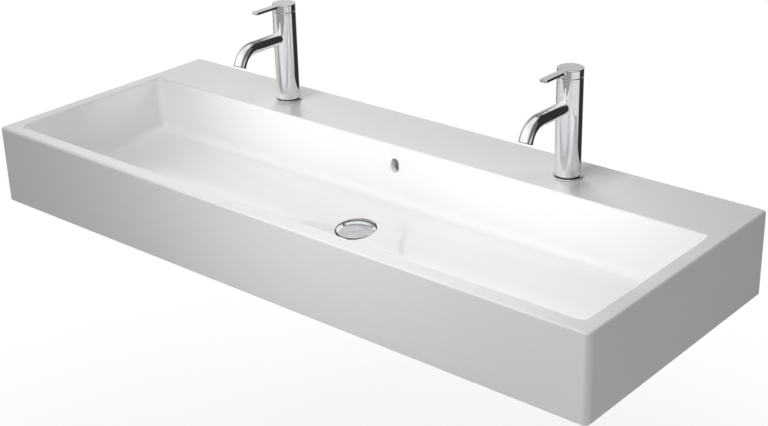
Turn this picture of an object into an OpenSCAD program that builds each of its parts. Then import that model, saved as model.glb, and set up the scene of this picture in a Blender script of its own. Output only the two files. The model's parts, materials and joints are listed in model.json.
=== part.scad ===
// Wide wall-hung washbasin with two single-lever mixers and a push-open waste.
// Millimetres. +X runs right along the front, +Y points to the wall, +Z is up.
// The origin is the middle of the wall bolts, on the back face of the basin.

/* [Basin] */
// Width over the outside of the rim
basin_w = 1200; // [1100:10:1300]
// Depth from the wall to the front face
basin_d = 470; // [440:5:520]
// Height of the apron from its lower edge to the rim
apron_h = 135; // [132:1:150]
// Depth of the wall bolts below the rim
bolt_drop = 75; // [65:1:85]
// Radius of the upright corners of the apron
apron_corner_r = 9; // [7:0.5:12]
// Radius of the outer edge of the rim
rim_edge_r = 4; // [2:0.5:5]
// Radius of the lower edge of the apron
apron_foot_r = 2.5; // [1:0.5:4]
// Thickness of the skirt round the open underside
skirt_t = 12; // [9:1:15]

/* [Bowl] */
// Width of the rim at both sides
side_rim = 26.5; // [24:0.5:40]
// Width of the rim at the front
front_rim = 27; // [24:0.5:40]
// Depth of the tap deck behind the bowl
deck_depth = 128; // [120:1:140]
// Thickness of the tap deck
deck_t = 14; // [11:1:16]
// Thickness of the wall between the bowl and the space behind it
bowl_wall_t = 11; // [9:0.5:13]
// Radius of the upright corners of the bowl
bowl_corner_r = 11; // [9:0.5:14]
// Radius of the inner edge of the rim
lip_r = 3.5; // [2:0.5:5]
// How much each bowl wall leans in from the rim to its foot
wall_draft = 3; // [1:0.5:5]
// Radius between the bowl walls and the floor
floor_fillet_r = 14; // [10:1:18]
// Depth of the floor along the back wall
floor_back_depth = 97; // [90:1:100]
// Depth of the floor at its lowest line, beside the end walls
floor_end_depth = 104; // [98:1:106]
// Depth of the floor along the front wall
floor_front_depth = 101; // [94:1:103]
// Least thickness of the floor
floor_t = 11; // [9:0.5:12]

/* [Drain recess] */
// Distance of the drain from the wall
drain_back = 229; // [220:1:245]
// Radius of the recess round the waste
recess_r = 34.4; // [34:0.2:38]
// Depth of the middle of the recess rim below the basin rim
recess_depth = 112; // [109:1:114]
// Rise of the recess rim towards the wall, per millimetre
recess_slope = 0.13; // [0:0.01:0.15]
// Depth of the seat that carries the waste flange
seat_depth = 128.8; // [127:0.2:131]
// Diameter of the drain hole
drain_hole_d = 46; // [44:0.5:48]
// Radius of the boss round the drain
boss_r = 44; // [42:1:48]
// Thickness of the ceramic above the overflow chamber
chamber_roof = 8.7; // [7:0.1:10]
// Height of the overflow chamber
chamber_h = 10.5; // [9:0.5:13]
// Thickness of the ceramic below the overflow chamber
chamber_floor = 8; // [7:0.5:10]

/* [Overflow] */
// Width of the overflow opening
overflow_w = 18; // [14:0.5:20]
// Height of the overflow opening
overflow_h = 25; // [22:0.5:30]
// Depth of the middle of the overflow opening below the rim
overflow_drop = 36; // [30:1:42]
// Width of the overflow passage
passage_w = 28; // [22:1:32]
// Depth of the overflow passage, front to back
passage_d = 12; // [10:1:16]
// Ceramic round the overflow passage
passage_t = 8; // [6:0.5:10]

/* [Wall bolts] */
// Diameter of each wall bolt hole
bolt_hole_d = 20; // [16:1:26]
// Distance between the inner pair of wall bolts
inner_bolts = 280; // [240:10:320]
// Distance between the outer pair of wall bolts
outer_bolts = 1040; // [960:10:1060]

/* [Mixer body] */
// Distance between the two mixers
mixer_pitch = 594; // [560:2:640]
// Distance of the mixers from the wall
mixer_back = 67; // [60:1:68]
// Diameter of each tap hole
tap_hole_d = 35; // [34:0.5:36]
// Diameter of the mixer body
body_d = 41; // [40:0.5:44]
// Wall of the body tube
body_wall = 2.5; // [2.2:0.1:2.8]
// Height of the mixer from the deck to the top of the cap
mixer_h = 176; // [172:1:190]
// Diameter of the base ring
base_ring_d = 47; // [45:0.5:52]
// Height of the base ring
base_ring_h = 2; // [1.5:0.1:3]
// Thickness of the gasket under the base ring
base_gasket_t = 0.6; // [0.5:0.1:1]
// Height of the shadow groove between the ring and the body
groove_h = 2.2; // [0.6:0.1:2.6]

/* [Spout] */
// Outside diameter of the spout tube
spout_d = 22; // [20:0.5:24]
// Wall of the spout tube
spout_wall = 2.5; // [2:0.1:2.8]
// Depth of the spout's middle line below the top of the cap
spout_drop = 60; // [59:0.5:66]
// Straight run from the body's middle line to the bend
spout_run = 81; // [50:1:90]
// Radius of the bend, on the middle line
spout_bend_r = 33; // [30:1:45]
// Angle of the bend
spout_bend = 66; // [50:1:75]
// Straight end below the bend
spout_end = 6.5; // [4:0.5:16]
// Depth of the aerator housing inside the mouth
aerator_depth = 8.5; // [6:0.5:9]

/* [Handle] */
// Height of the turning cap above the seam
cap_h = 12.4; // [12:0.1:14]
// Open seam between the body and the cap
seam = 1.2; // [1:0.1:1.5]
// Width of the lever
lever_w = 13; // [10:0.5:14]
// Thickness of the lever
lever_t = 4.2; // [3.5:0.1:4.5]
// Reach of the lever from the body's middle line
lever_reach = 73; // [55:0.5:85]
// Depth of the tilting pin below the cap
tilt_below = 8.2; // [8:0.1:8.4]
// Distance of the tilting pin behind the body's middle line
tilt_back = 4.5; // [4.2:0.1:4.8]
// Full lift of the lever, in degrees
tilt_max = 15; // [12:1:16]
// Width of the square stem
stem_w = 7; // [6.6:0.1:7.2]
// Diameter of the tilting pin
tilt_pin_d = 2.5; // [2.2:0.1:2.8]

/* [Mixer fixing] */
// Diameter of the fixing stud
stud_d = 8; // [7:0.5:8]
// Length of the fixing stud below the deck
stud_below = 62; // [50:1:75]
// Distance of the stud behind the body's middle line
stud_back = 9; // [8.5:0.1:9.5]
// Diameter of each hose inlet
inlet_d = 9; // [8:0.2:9.4]
// Distance between the two hose inlets
inlet_pitch = 15; // [14.5:0.5:16]

/* [Waste] */
// Diameter of the push cap
push_cap_d = 64.8; // [63:0.2:65]
// Depth of the cap's edge below the basin rim when it stands open
push_cap_depth = 115.5; // [115:0.1:116]
// Thickness of the cap at its edge
push_cap_t = 3.2; // [2.6:0.1:3.6]
// Rise of the cap's middle above its edge
push_cap_crown = 1.6; // [0.5:0.1:3]
// Travel of the cap from open to shut
push_travel = 6; // [4.5:0.1:6.2]
// Diameter of the threaded waste barrel
barrel_d = 41.9; // [40:0.1:42.4]
// Wall of the waste barrel
barrel_wall = 2.95; // [2.5:0.05:3.2]
// Length of the barrel below the ceramic boss
barrel_below = 24; // [22:1:40]
// Diameter of the tailpiece
tail_d = 32; // [28:0.5:34]
// Length of the tailpiece below its collar
tail_l = 42; // [30:1:80]

/* [Fits] */
// Clearance round parts that slide or turn
run_gap = 0.05; // [0.03:0.01:0.08]
// Clearance round parts that only pass through
pass_gap = 0.3; // [0.2:0.05:0.5]

/* [Hidden] */

// How finely round things are drawn, and the small overlap of cuts past a face
$fn = 64;
cut = 1;

// Points in one loop of the ceramic: each corner's arc, then the edge after it
corner_steps = 6;
long_steps = 6;
short_steps = 4;
loop_n = 4 * (corner_steps + 1) + 2 * (long_steps - 1) + 2 * (short_steps - 1);
back_middle = corner_steps + long_steps / 2;
corner_middle = corner_steps / 2;

// Heights in the frame of the wall bolts
rim_z = bolt_drop;
apron_z = rim_z - apron_h;
seat_z = rim_z - seat_depth;
recess_z = rim_z - recess_depth;
chamber_top = seat_z - chamber_roof;
chamber_low = chamber_top - chamber_h;
boss_z = chamber_low - chamber_floor;
boss_top = recess_z - recess_slope * recess_r - 4;

// Faces of the bowl and of the spaces behind and below it
bowl_x = basin_w / 2 - side_rim;
bowl_front = front_rim - basin_d;
bowl_back = -deck_depth;
drain_y = -drain_back;
pocket_front = bowl_back + bowl_wall_t;
under_edge_z = rim_z - max(floor_back_depth, floor_end_depth, floor_front_depth) - floor_t;
under_drain_z = recess_z - recess_slope * recess_r - floor_t;

// Overflow passage
passage_y0 = pocket_front - 2;
passage_y1 = pocket_front + passage_d;
passage_top = rim_z - overflow_drop + overflow_h / 2 + 3;

// Mixer heights above the deck
body_r = body_d / 2;
bore_r = body_r - body_wall;
ring_top = base_gasket_t + base_ring_h;
body_low = ring_top + groove_h;
body_top = mixer_h - cap_h - seam;
cap_low = mixer_h - cap_h;
tilt_z = cap_low - tilt_below;
spout_z = mixer_h - spout_drop;
groove_r = body_r - 1.6;
foot_r = tap_hole_d / 2 - pass_gap;
core_low = 0.3;
inlet_depth = 12;
core_seat_z = spout_z + spout_d / 2 + 1;
core_step_z = spout_z - spout_d / 2 - 5;
core_base_z = 14;
core_waist_r = 13;
spout_root = 8;
stud_hole_top = 10;
inlet_y = -3;
waterway_d = 6;

// Cartridge, its nut and the dome over it
shoulder_z = tilt_z - 9.4;
neck_r = 11;
neck_z = tilt_z - 2.4;
swivel_r = 8.4;
swivel_low = tilt_z - 20;
swivel_top = tilt_z + 5.6;
tilt_pin_l = 2 * sqrt(swivel_r * swivel_r - tilt_back * tilt_back) - 1.4;
nut_h = 5;
dome_r = bore_r - 0.4;
dome_t = 1.4;
dome_open = 54;
dome_low = shoulder_z + nut_h;

// Handle
cap_wall = 3.1;
cap_roof = lever_t + 1.3;
cap_boss_r = 7.8;
cap_boss_low = tilt_z + 9.1;
relief_start = tilt_back + 1.8;
lever_root = 9.9;
screw_r = 2;
screw_z = mixer_h - lever_t - 3.4;
stem_x = stem_w + 0.6;
stem_top = tilt_z + 17;
arm_back = 7.2;

// Mouth of the spout
bend_z = spout_z - spout_bend_r;
mouth_y = -spout_run - spout_bend_r * sin(spout_bend) - spout_end * cos(spout_bend);
mouth_z = bend_z + spout_bend_r * cos(spout_bend) - spout_end * sin(spout_bend);
bend_waist = 0.02;
aerator_r = spout_d / 2 - 1.4;
screen_r = aerator_r - 2;
screen_t = 1.2;
screen_hole_d = 1.2;
screen_pitch = 0.36 * screen_r;

// Deck fixing
gasket_t = 3;
plate_t = 3.5;
plate_r = 26;
nut_t = 8;

// Waste
barrel_r = barrel_d / 2;
barrel_bore_r = barrel_r - barrel_wall;
seal_t = 1.5;
flange_t = 1.7;
flange_z = seat_z + seal_t;
dish_z = flange_z + flange_t;
dish_r = push_cap_d / 2 + 0.4;
flange_r = dish_r + 0.9;
lip_z = rim_z - push_cap_depth - push_travel;
barrel_low = boss_z - barrel_below;
lower_seal_t = 4;
backnut_t = 12;
backnut_z = boss_z - lower_seal_t - backnut_t;
spider_z = chamber_low - 12;
spider_t = 4;
guide_r = 7.5;
guide_top = spider_z + 26;
stem_r = 4;
push_r = push_cap_d / 2;
push_skin = 1.3;
push_edge_w = 5;
push_edge_z = rim_z - push_cap_depth;
push_under_z = push_edge_z - push_cap_t;
push_boss_r = 6;
push_boss_z = push_under_z - 1.5;
push_seal_r = push_r - 2.6;
spring_r = 5.6;
spring_wire = 1;
spring_turns = 3;
collar_t = 8;

// Rounded rectangle as one loop of points, anticlockwise from above
function rounded_loop(x0, x1, y0, y1, r, z) =
    let (cx = [x1 - r, x0 + r, x0 + r, x1 - r], cy = [y1 - r, y1 - r, y0 + r, y0 + r])
    [for (c = [0:3])
        let (
            d = (c + 1) % 4,
            n = c % 2 == 0 ? long_steps : short_steps,
            way = [cos(90 * (c + 1)), sin(90 * (c + 1))],
            from = [cx[c], cy[c]] + r * way,
            to = [cx[d], cy[d]] + r * way
        )
        each concat(
            [for (i = [0:corner_steps])
                let (a = 90 * (c + i / corner_steps)) [cx[c] + r * cos(a), cy[c] + r * sin(a), z]],
            [for (k = [1:n - 1]) let (p = from + (to - from) * k / n) [p[0], p[1], z]]
        )];

// Circle with the same count of points, its points facing those of the rectangle
function round_loop(y, r, z, slope = 0) =
    [for (i = [0:loop_n - 1])
        let (a = 90 + 360 * (i - back_middle) / loop_n)
        [r * cos(a), y + r * sin(a), z + slope * r * sin(a)]];

// Loop part of the way from one loop to another
function between(a, b, t) = [for (i = [0:len(a) - 1]) a[i] * (1 - t) + b[i] * t];

// Solid skin through a stack of loops, the first at the bottom. Each end face is
// split from the middle of a corner's arc, where no two of its points lie in line.
module loft(loops) {
    m = len(loops[0]);
    last = len(loops) - 1;
    polyhedron(
        points = [for (l = loops) each l],
        faces = concat(
            [[for (i = [0:m - 1]) (corner_middle + i) % m]],
            [[for (i = [0:m - 1]) last * m + (corner_middle + m - i) % m]],
            [for (k = [0:last - 1], i = [0:m - 1])
                let (j = (i + 1) % m) [k * m + i, (k + 1) * m + i, (k + 1) * m + j]],
            [for (k = [0:last - 1], i = [0:m - 1])
                let (j = (i + 1) % m) [k * m + i, (k + 1) * m + j, k * m + j]]
        )
    );
}

// Outline of the apron, drawn in by an inset
function apron_loop(inset, z) =
    rounded_loop(-basin_w / 2 + inset, basin_w / 2 - inset, -basin_d + inset, -inset,
        apron_corner_r - inset, z);

// Outline of the bowl, drawn in by an inset
function bowl_loop(inset, z) =
    rounded_loop(-bowl_x + inset, bowl_x - inset, bowl_front + inset, bowl_back - inset,
        max(bowl_corner_r - inset / 2, 2), z);

// Height of the foot of the bowl walls: it falls to a line level with the drain
function foot_z(y) =
    let (back = rim_z - floor_back_depth, low = rim_z - floor_end_depth, front = rim_z - floor_front_depth)
    y > drain_y
        ? back + (low - back) * min((bowl_back - y) / (bowl_back - drain_y), 1)
        : front + (low - front) * max((y - bowl_front) / (drain_y - bowl_front), 0);

// The bowl outline laid on the falling foot of the walls, raised by a rise
function foot_loop(inset, rise) =
    [for (p = bowl_loop(wall_draft + inset, 0)) [p[0], p[1], foot_z(p[1]) + rise]];

module apron_block() {
    loft(concat(
        [for (a = [0:30:90])
            apron_loop(apron_foot_r * (1 - sin(a)), apron_z + apron_foot_r * (1 - cos(a)))],
        [for (a = [0:30:90])
            apron_loop(rim_edge_r * (1 - cos(a)), rim_z - rim_edge_r * (1 - sin(a)))]
    ));
}

// The hollow of the bowl, from the seat of the waste up past the rim
module bowl_hollow() {
    recess_edge = round_loop(drain_y, recess_r + 1.2, recess_z, recess_slope);
    floor_edge = foot_loop(floor_fillet_r, 0);
    loft(concat(
        [round_loop(drain_y, recess_r, seat_z)],
        [round_loop(drain_y, recess_r, recess_z - 1.2, recess_slope)],
        [recess_edge],
        [for (t = [0.25:0.25:0.75]) between(recess_edge, floor_edge, t)],
        [for (a = [0:22.5:90])
            foot_loop(floor_fillet_r * (1 - sin(a)), floor_fillet_r * (1 - cos(a)))],
        [for (a = [0:30:90]) bowl_loop(-lip_r * (1 - cos(a)), rim_z - lip_r * (1 - sin(a)))],
        [bowl_loop(-lip_r, rim_z + cut)]
    ));
}

// The open underside below the bowl; its roof dips with the floor towards the drain
module under_hollow() {
    x = basin_w / 2 - skirt_t;
    y = skirt_t - basin_d;
    edge = rounded_loop(-x + 6, x - 6, y + 6, -skirt_t - 6, 8, under_edge_z);
    loft([
        rounded_loop(-x, x, y, -skirt_t, 8, apron_z - cut),
        rounded_loop(-x, x, y, -skirt_t, 8, under_edge_z - 6),
        edge,
        between(edge, round_loop(drain_y, boss_r + 8, under_drain_z), 0.5),
        round_loop(drain_y, boss_r + 8, under_drain_z)
    ]);
}

// The open space behind the bowl, under the tap deck
module deck_hollow() {
    x = basin_w / 2 - skirt_t;
    top = rim_z - deck_t;
    loft([
        rounded_loop(-x, x, pocket_front, -skirt_t, 8, apron_z - cut),
        rounded_loop(-x, x, pocket_front, -skirt_t, 8, top - 3),
        rounded_loop(-x + 3, x - 3, pocket_front + 3, -skirt_t - 3, 5, top)
    ]);
}

module box(x0, x1, y0, y1, z0, z1) {
    translate([x0, y0, z0]) cube([x1 - x0, y1 - y0, z1 - z0]);
}

module overflow_walls() {
    w = passage_w / 2 + passage_t;
    box(-w, w, bowl_back, passage_y1 + passage_t, boss_z, passage_top + passage_t);
    box(-w, w, drain_y, passage_y1 + passage_t, boss_z, chamber_top + passage_t);
}

module overflow_passage() {
    w = passage_w / 2;
    box(-w, w, passage_y0, passage_y1, chamber_low, passage_top);
    box(-w, w, drain_y, passage_y1, chamber_low, chamber_top);
    translate([0, drain_y, chamber_low]) cylinder(r = boss_r - passage_t, h = chamber_h);
}

// Upright oval cut through the back wall of the bowl
module overflow_opening() {
    r = overflow_w / 2;
    rise = overflow_h / 2 - r;
    translate([0, passage_y0 + cut, rim_z - overflow_drop]) rotate([90, 0, 0]) {
        for (s = [-1, 1]) translate([0, s * rise, 0]) cylinder(r = r, h = bowl_wall_t + 12);
        translate([-r, -rise, 0]) cube([2 * r, 2 * rise, bowl_wall_t + 12]);
    }
}

module basin() color("white") difference() {
    union() {
        difference() {
            apron_block();
            under_hollow();
            deck_hollow();
        }
        overflow_walls();
        translate([0, drain_y, boss_z]) cylinder(r = boss_r, h = boss_top - boss_z);
    }
    bowl_hollow();
    overflow_passage();
    overflow_opening();
    translate([0, drain_y, boss_z - cut]) cylinder(d = drain_hole_d, h = seat_z - boss_z + 2 * cut);
    for (s = [-1, 1]) {
        translate([s * mixer_pitch / 2, -mixer_back, rim_z - deck_t - cut])
            cylinder(d = tap_hole_d, h = deck_t + 2 * cut);
        for (pitch = [inner_bolts, outer_bolts])
            translate([s * pitch / 2, cut, 0]) rotate([90, 0, 0])
                cylinder(d = bolt_hole_d, h = skirt_t + 2 * cut);
    }
}

// Everything of the waste turns about the drain
module at_drain() translate([0, drain_y, 0]) children();

// Upper waste: dished flange, threaded barrel with overflow slots, and a spider inside
module waste_body() color("silver") at_drain() {
    difference() {
        rotate_extrude() polygon([
            [barrel_bore_r, barrel_low], [barrel_r, barrel_low], [barrel_r, flange_z],
            [flange_r, flange_z], [flange_r, lip_z - 0.5], [flange_r - 0.4, lip_z],
            [dish_r, lip_z], [dish_r, dish_z], [barrel_bore_r + 1, dish_z], [barrel_bore_r, dish_z - 1]
        ]);
        for (a = [0:90:270]) rotate(a)
            translate([barrel_bore_r - cut, -7, chamber_low + 1.5])
                cube([barrel_wall + 2 * cut, 14, chamber_h - 3]);
    }
    difference() {
        union() {
            for (a = [45, 135]) rotate(a)
                translate([-barrel_bore_r - 0.2, -1.5, spider_z])
                    cube([2 * barrel_bore_r + 0.4, 3, spider_t]);
            translate([0, 0, spider_z]) cylinder(r = guide_r + 2, h = spider_t);
        }
        translate([0, 0, spider_z - cut]) cylinder(r = guide_r, h = spider_t + 2 * cut);
    }
}

module flange_seal() color("dimgray") at_drain() rotate_extrude()
    polygon([[barrel_r + pass_gap, seat_z], [flange_r - 0.6, seat_z],
        [flange_r - 0.6, flange_z], [barrel_r + pass_gap, flange_z]]);

module lower_seal() color("dimgray") at_drain() rotate_extrude()
    polygon([[barrel_r + pass_gap, boss_z - lower_seal_t], [barrel_r + 9, boss_z - lower_seal_t],
        [barrel_r + 11, boss_z - 2], [barrel_r + 11, boss_z], [barrel_r + pass_gap, boss_z]]);

module waste_backnut() color("goldenrod") at_drain() difference() {
    union() {
        translate([0, 0, backnut_z]) cylinder(r = barrel_r + 9, h = backnut_t - 3, $fn = 6);
        translate([0, 0, backnut_z + backnut_t - 3]) cylinder(r = barrel_r + 9.5, h = 3);
    }
    translate([0, 0, backnut_z - cut]) cylinder(r = barrel_r + run_gap, h = backnut_t + 2 * cut);
}

// Tailpiece: a spigot up inside the barrel, a hexagon collar and the plain tail for a trap
module waste_tailpiece() color("silver") at_drain() difference() {
    union() {
        translate([0, 0, barrel_low - collar_t - tail_l]) cylinder(d = tail_d, h = tail_l + collar_t);
        translate([0, 0, barrel_low - collar_t]) cylinder(r = barrel_r + 3.5, h = collar_t, $fn = 6);
        translate([0, 0, barrel_low - cut]) cylinder(r = barrel_bore_r - run_gap, h = 10 + cut);
    }
    translate([0, 0, barrel_low - collar_t - tail_l - cut])
        cylinder(r = tail_d / 2 - 1.5, h = tail_l + collar_t + 12 + 2 * cut);
}

// Guide of the push stem, held in the spider
module push_guide() color("whitesmoke") at_drain() rotate_extrude() polygon([
    [stem_r + run_gap, spider_z - 2], [guide_r - run_gap, spider_z - 2],
    [guide_r - run_gap, spider_z + spider_t], [guide_r + 1.5, spider_z + spider_t],
    [guide_r + 1.5, spider_z + spider_t + 3], [guide_r - 0.5, spider_z + spider_t + 5],
    [guide_r - 0.5, guide_top], [stem_r + run_gap, guide_top]
]);

module push_stem() color("silver") at_drain()
    translate([0, 0, spider_z + 8]) cylinder(r = stem_r, h = push_under_z - spider_z - 8);

// Spring between the guide and the boss of the cap, one tube on a helix with flat end turns
spring_low = guide_top + spring_wire / 2 + 0.1;
spring_high = push_boss_z - spring_wire / 2 - 0.1;
spring_steps = 24;
spring_flat = 0.15;
function spring_height(t) =
    let (rise = (t - spring_flat) / (1 - 2 * spring_flat))
    spring_low + (spring_high - spring_low) * min(max(rise, 0), 1);
module push_spring() color("gray") at_drain() {
    n = spring_turns * spring_steps;
    sides = 6;
    loops = [for (k = [0:n])
        let (t = k / n, a = 360 * spring_turns * t, z = spring_height(t))
        [for (j = [0:sides - 1])
            let (b = 360 * j / sides, r = spring_r + spring_wire / 2 * cos(b))
            [r * cos(a), r * sin(a), z + spring_wire / 2 * sin(b)]]];
    rotate([0, 0, 20]) loft_round(loops);
}

// Skin through loops that follow each other along a path, turned inside to outside
module loft_round(loops) {
    m = len(loops[0]);
    last = len(loops) - 1;
    polyhedron(
        points = [for (l = loops) each l],
        faces = concat(
            [[for (i = [m - 1:-1:0]) i]],
            [[for (i = [0:m - 1]) last * m + i]],
            [for (k = [0:last - 1], i = [0:m - 1])
                let (j = (i + 1) % m) [k * m + i, (k + 1) * m + j, (k + 1) * m + i]],
            [for (k = [0:last - 1], i = [0:m - 1])
                let (j = (i + 1) % m) [k * m + i, k * m + j, (k + 1) * m + j]]
        )
    );
}

// Crowned cap with a rolled edge, hollow below, and the boss that takes the stem
module push_cap() color("silver") at_drain() rotate_extrude() polygon(concat(
    [[0, push_under_z], [stem_r + run_gap, push_under_z], [stem_r + run_gap, push_boss_z],
        [push_boss_r, push_boss_z], [push_boss_r, push_edge_z - push_skin],
        [push_r - push_edge_w, push_edge_z - push_skin], [push_r - push_edge_w, push_under_z],
        [push_r - 0.6, push_under_z], [push_r, push_under_z + 0.6]],
    [for (a = [0:30:90]) [push_r - 1 + cos(a), push_edge_z - 1 + sin(a)]],
    [for (t = [0.9:-0.15:0]) [t * push_r, push_edge_z + push_cap_crown * (1 - t * t)]]
));

module push_cap_seal() color("dimgray") at_drain() rotate_extrude()
    polygon([[push_seal_r - 1.6, push_under_z - 0.5], [push_seal_r + 1.6, push_under_z - 0.5],
        [push_seal_r + 1.6, push_under_z], [push_seal_r - 1.6, push_under_z]]);

// The place of each mixer on the deck: side is -1 on the left and 1 on the right
module at_mixer(side) translate([side * mixer_pitch / 2, -mixer_back, rim_z]) children();

// The mouth of the spout, with +Z pointing out along the water
module at_mouth() translate([0, mouth_y, mouth_z]) rotate([90 + spout_bend, 0, 0]) children();

// Body tube with the spout's hole and the neck of the shadow groove
module mixer_body() color("silver") difference() {
    rotate_extrude() polygon([
        [bore_r, ring_top], [groove_r, ring_top], [groove_r, body_low], [body_r - 0.5, body_low],
        [body_r, body_low + 0.5], [body_r, body_top - 0.4], [body_r - 0.4, body_top], [bore_r, body_top]
    ]);
    translate([0, 0, spout_z]) rotate([90, 0, 0]) cylinder(r = spout_d / 2 + run_gap, h = body_r + cut);
}

// Inner casting: inlets and waterways up to the cartridge seat, the spout's seat, the stud's hole
module mixer_core() color("goldenrod") {
    r = bore_r - run_gap;
    difference() {
        rotate_extrude() polygon([
            [0, core_low], [foot_r - 0.5, core_low], [foot_r, core_low + 0.5],
            [foot_r, ring_top], [r, ring_top], [r, core_base_z], [core_waist_r, core_base_z + 4],
            [core_waist_r, core_step_z - 4], [r, core_step_z], [r, core_seat_z], [0, core_seat_z]
        ]);
        for (s = [-1, 1]) translate([s * inlet_pitch / 2, inlet_y, 0]) {
            translate([0, 0, core_low - cut]) cylinder(d = inlet_d, h = inlet_depth + cut);
            cylinder(d = waterway_d, h = core_seat_z + cut);
        }
        translate([0, stud_back, core_low - cut])
            cylinder(r = stud_d / 2 + run_gap, h = stud_hole_top - core_low + cut);
        translate([0, -spout_root, spout_z]) rotate([90, 0, 0])
            cylinder(r = spout_d / 2 + run_gap, h = body_r);
        translate([0, -spout_root - 4, spout_z]) cylinder(r = 3, h = core_seat_z - spout_z + cut);
    }
}

module base_ring() color("silver") rotate_extrude() polygon([
    [foot_r + pass_gap, base_gasket_t], [base_ring_d / 2, base_gasket_t],
    [base_ring_d / 2, ring_top - 0.7], [base_ring_d / 2 - 0.7, ring_top], [foot_r + pass_gap, ring_top]
]);

module base_gasket() color("dimgray") rotate_extrude() polygon([
    [foot_r + pass_gap, 0], [base_ring_d / 2 - 0.8, 0],
    [base_ring_d / 2 - 0.8, base_gasket_t], [foot_r + pass_gap, base_gasket_t]
]);

// Straight run, bend and straight end of one round bar along the spout's middle line.
// Bending draws the bar in by a hair.
module spout_bar(r, run_from, end_more = 0) {
    translate([0, -run_from, spout_z]) rotate([90, 0, 0]) cylinder(r = r, h = spout_run - run_from);
    translate([0, -spout_run, bend_z]) rotate([0, -90, 180])
        rotate_extrude(angle = spout_bend) translate([spout_bend_r, 0]) circle(r = r - bend_waist);
    at_mouth() translate([0, 0, -spout_end]) cylinder(r = r, h = spout_end + end_more);
}

module spout() color("silver") difference() {
    spout_bar(spout_d / 2, spout_root + 0.1);
    spout_bar(spout_d / 2 - spout_wall, spout_root - 2, cut);
    at_mouth() translate([0, 0, -aerator_depth - 0.2])
        cylinder(r = aerator_r + run_gap, h = aerator_depth + 0.2 + cut);
}

module aerator_housing() color("gainsboro") at_mouth() rotate_extrude() polygon([
    [screen_r, -aerator_depth], [aerator_r, -aerator_depth], [aerator_r, 0], [aerator_r + 0.8, 0],
    [aerator_r + 0.8, 0.8], [aerator_r + 0.4, 1.2], [screen_r + 0.6, 1.2], [screen_r, 0.6]
]);

// Perforated screen: a middle hole and two rings of holes
module aerator_screen() color("whitesmoke") at_mouth() translate([0, 0, -2]) difference() {
    cylinder(r = screen_r - run_gap, h = screen_t);
    for (ring = [0:2], k = [0:max(6 * ring - 1, 0)])
        rotate(k * 60 / max(ring, 1)) translate([ring * screen_pitch, 0, -cut])
            cylinder(d = screen_hole_d, h = screen_t + 2 * cut, $fn = 16);
}

// Ceramic-disc cartridge with the neck that the swivel turns in
module cartridge() color("whitesmoke") rotate_extrude() polygon([
    [0, core_seat_z], [bore_r - 0.6, core_seat_z], [bore_r - 0.6, shoulder_z], [neck_r, shoulder_z],
    [neck_r, neck_z], [swivel_r + run_gap, neck_z], [swivel_r + run_gap, swivel_low - run_gap],
    [0, swivel_low - run_gap]
]);

// Ring nut that presses the cartridge down, with four key slots
module cartridge_nut() color("goldenrod") difference() {
    rotate_extrude() polygon([
        [neck_r + pass_gap, shoulder_z], [bore_r - run_gap, shoulder_z],
        [bore_r - run_gap, shoulder_z + nut_h], [neck_r + pass_gap, shoulder_z + nut_h]
    ]);
    for (a = [45:90:315]) rotate(a) translate([neck_r, -1.5, shoulder_z + nut_h - 2]) cube([4, 3, 2 + cut]);
}

// Rounded cover over the cartridge, low enough for the cap to tilt over it
function on_dome(r, k) =
    let (low = acos((dome_low + 2 - tilt_z) / dome_r), a = low + (dome_open - low) * k / 6)
    [r * sin(a), tilt_z + r * cos(a)];
module dome_cover() color("silver") rotate_extrude() polygon(concat(
    [[neck_r + 1, dome_low], [bore_r - 0.1, dome_low], [bore_r - 0.1, dome_low + 2]],
    [for (k = [0:6]) on_dome(dome_r, k)],
    [for (k = [6:-1:0]) on_dome(dome_r - dome_t, k)],
    [[neck_r + 1, dome_low + dome_t]]
));

// Turning fork in the cartridge neck, slotted for the stem
module swivel() color("gainsboro") difference() {
    slot = stem_x / 2 + run_gap;
    translate([0, 0, swivel_low]) cylinder(r = swivel_r, h = swivel_top - swivel_low);
    box(-slot, slot, -swivel_r - cut, swivel_r + cut, tilt_z - 10, swivel_top + cut);
    along_tilt_axis(2 * swivel_r + 2 * cut) cylinder(d = tilt_pin_d, h = 2 * swivel_r + 2 * cut);
}

// The axis that the lever tilts about: it runs from left to right behind the middle line
module along_tilt_axis(length) translate([-length / 2, tilt_back, tilt_z]) rotate([0, 90, 0]) children();

module tilt_pin() color("silver") along_tilt_axis(tilt_pin_l) cylinder(d = tilt_pin_d, h = tilt_pin_l);

// Square stem with an arm behind it that hangs on the tilting pin
module stem() color("gainsboro") difference() {
    union() {
        box(-stem_x / 2, stem_x / 2, -stem_w / 2, stem_w / 2, tilt_z - 8.4, stem_top);
        box(-stem_x / 2, stem_x / 2, 0, arm_back, tilt_z - 5, tilt_z + 4);
    }
    along_tilt_axis(2 * stem_x) cylinder(r = tilt_pin_d / 2 + run_gap, h = 2 * stem_x);
}

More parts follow.
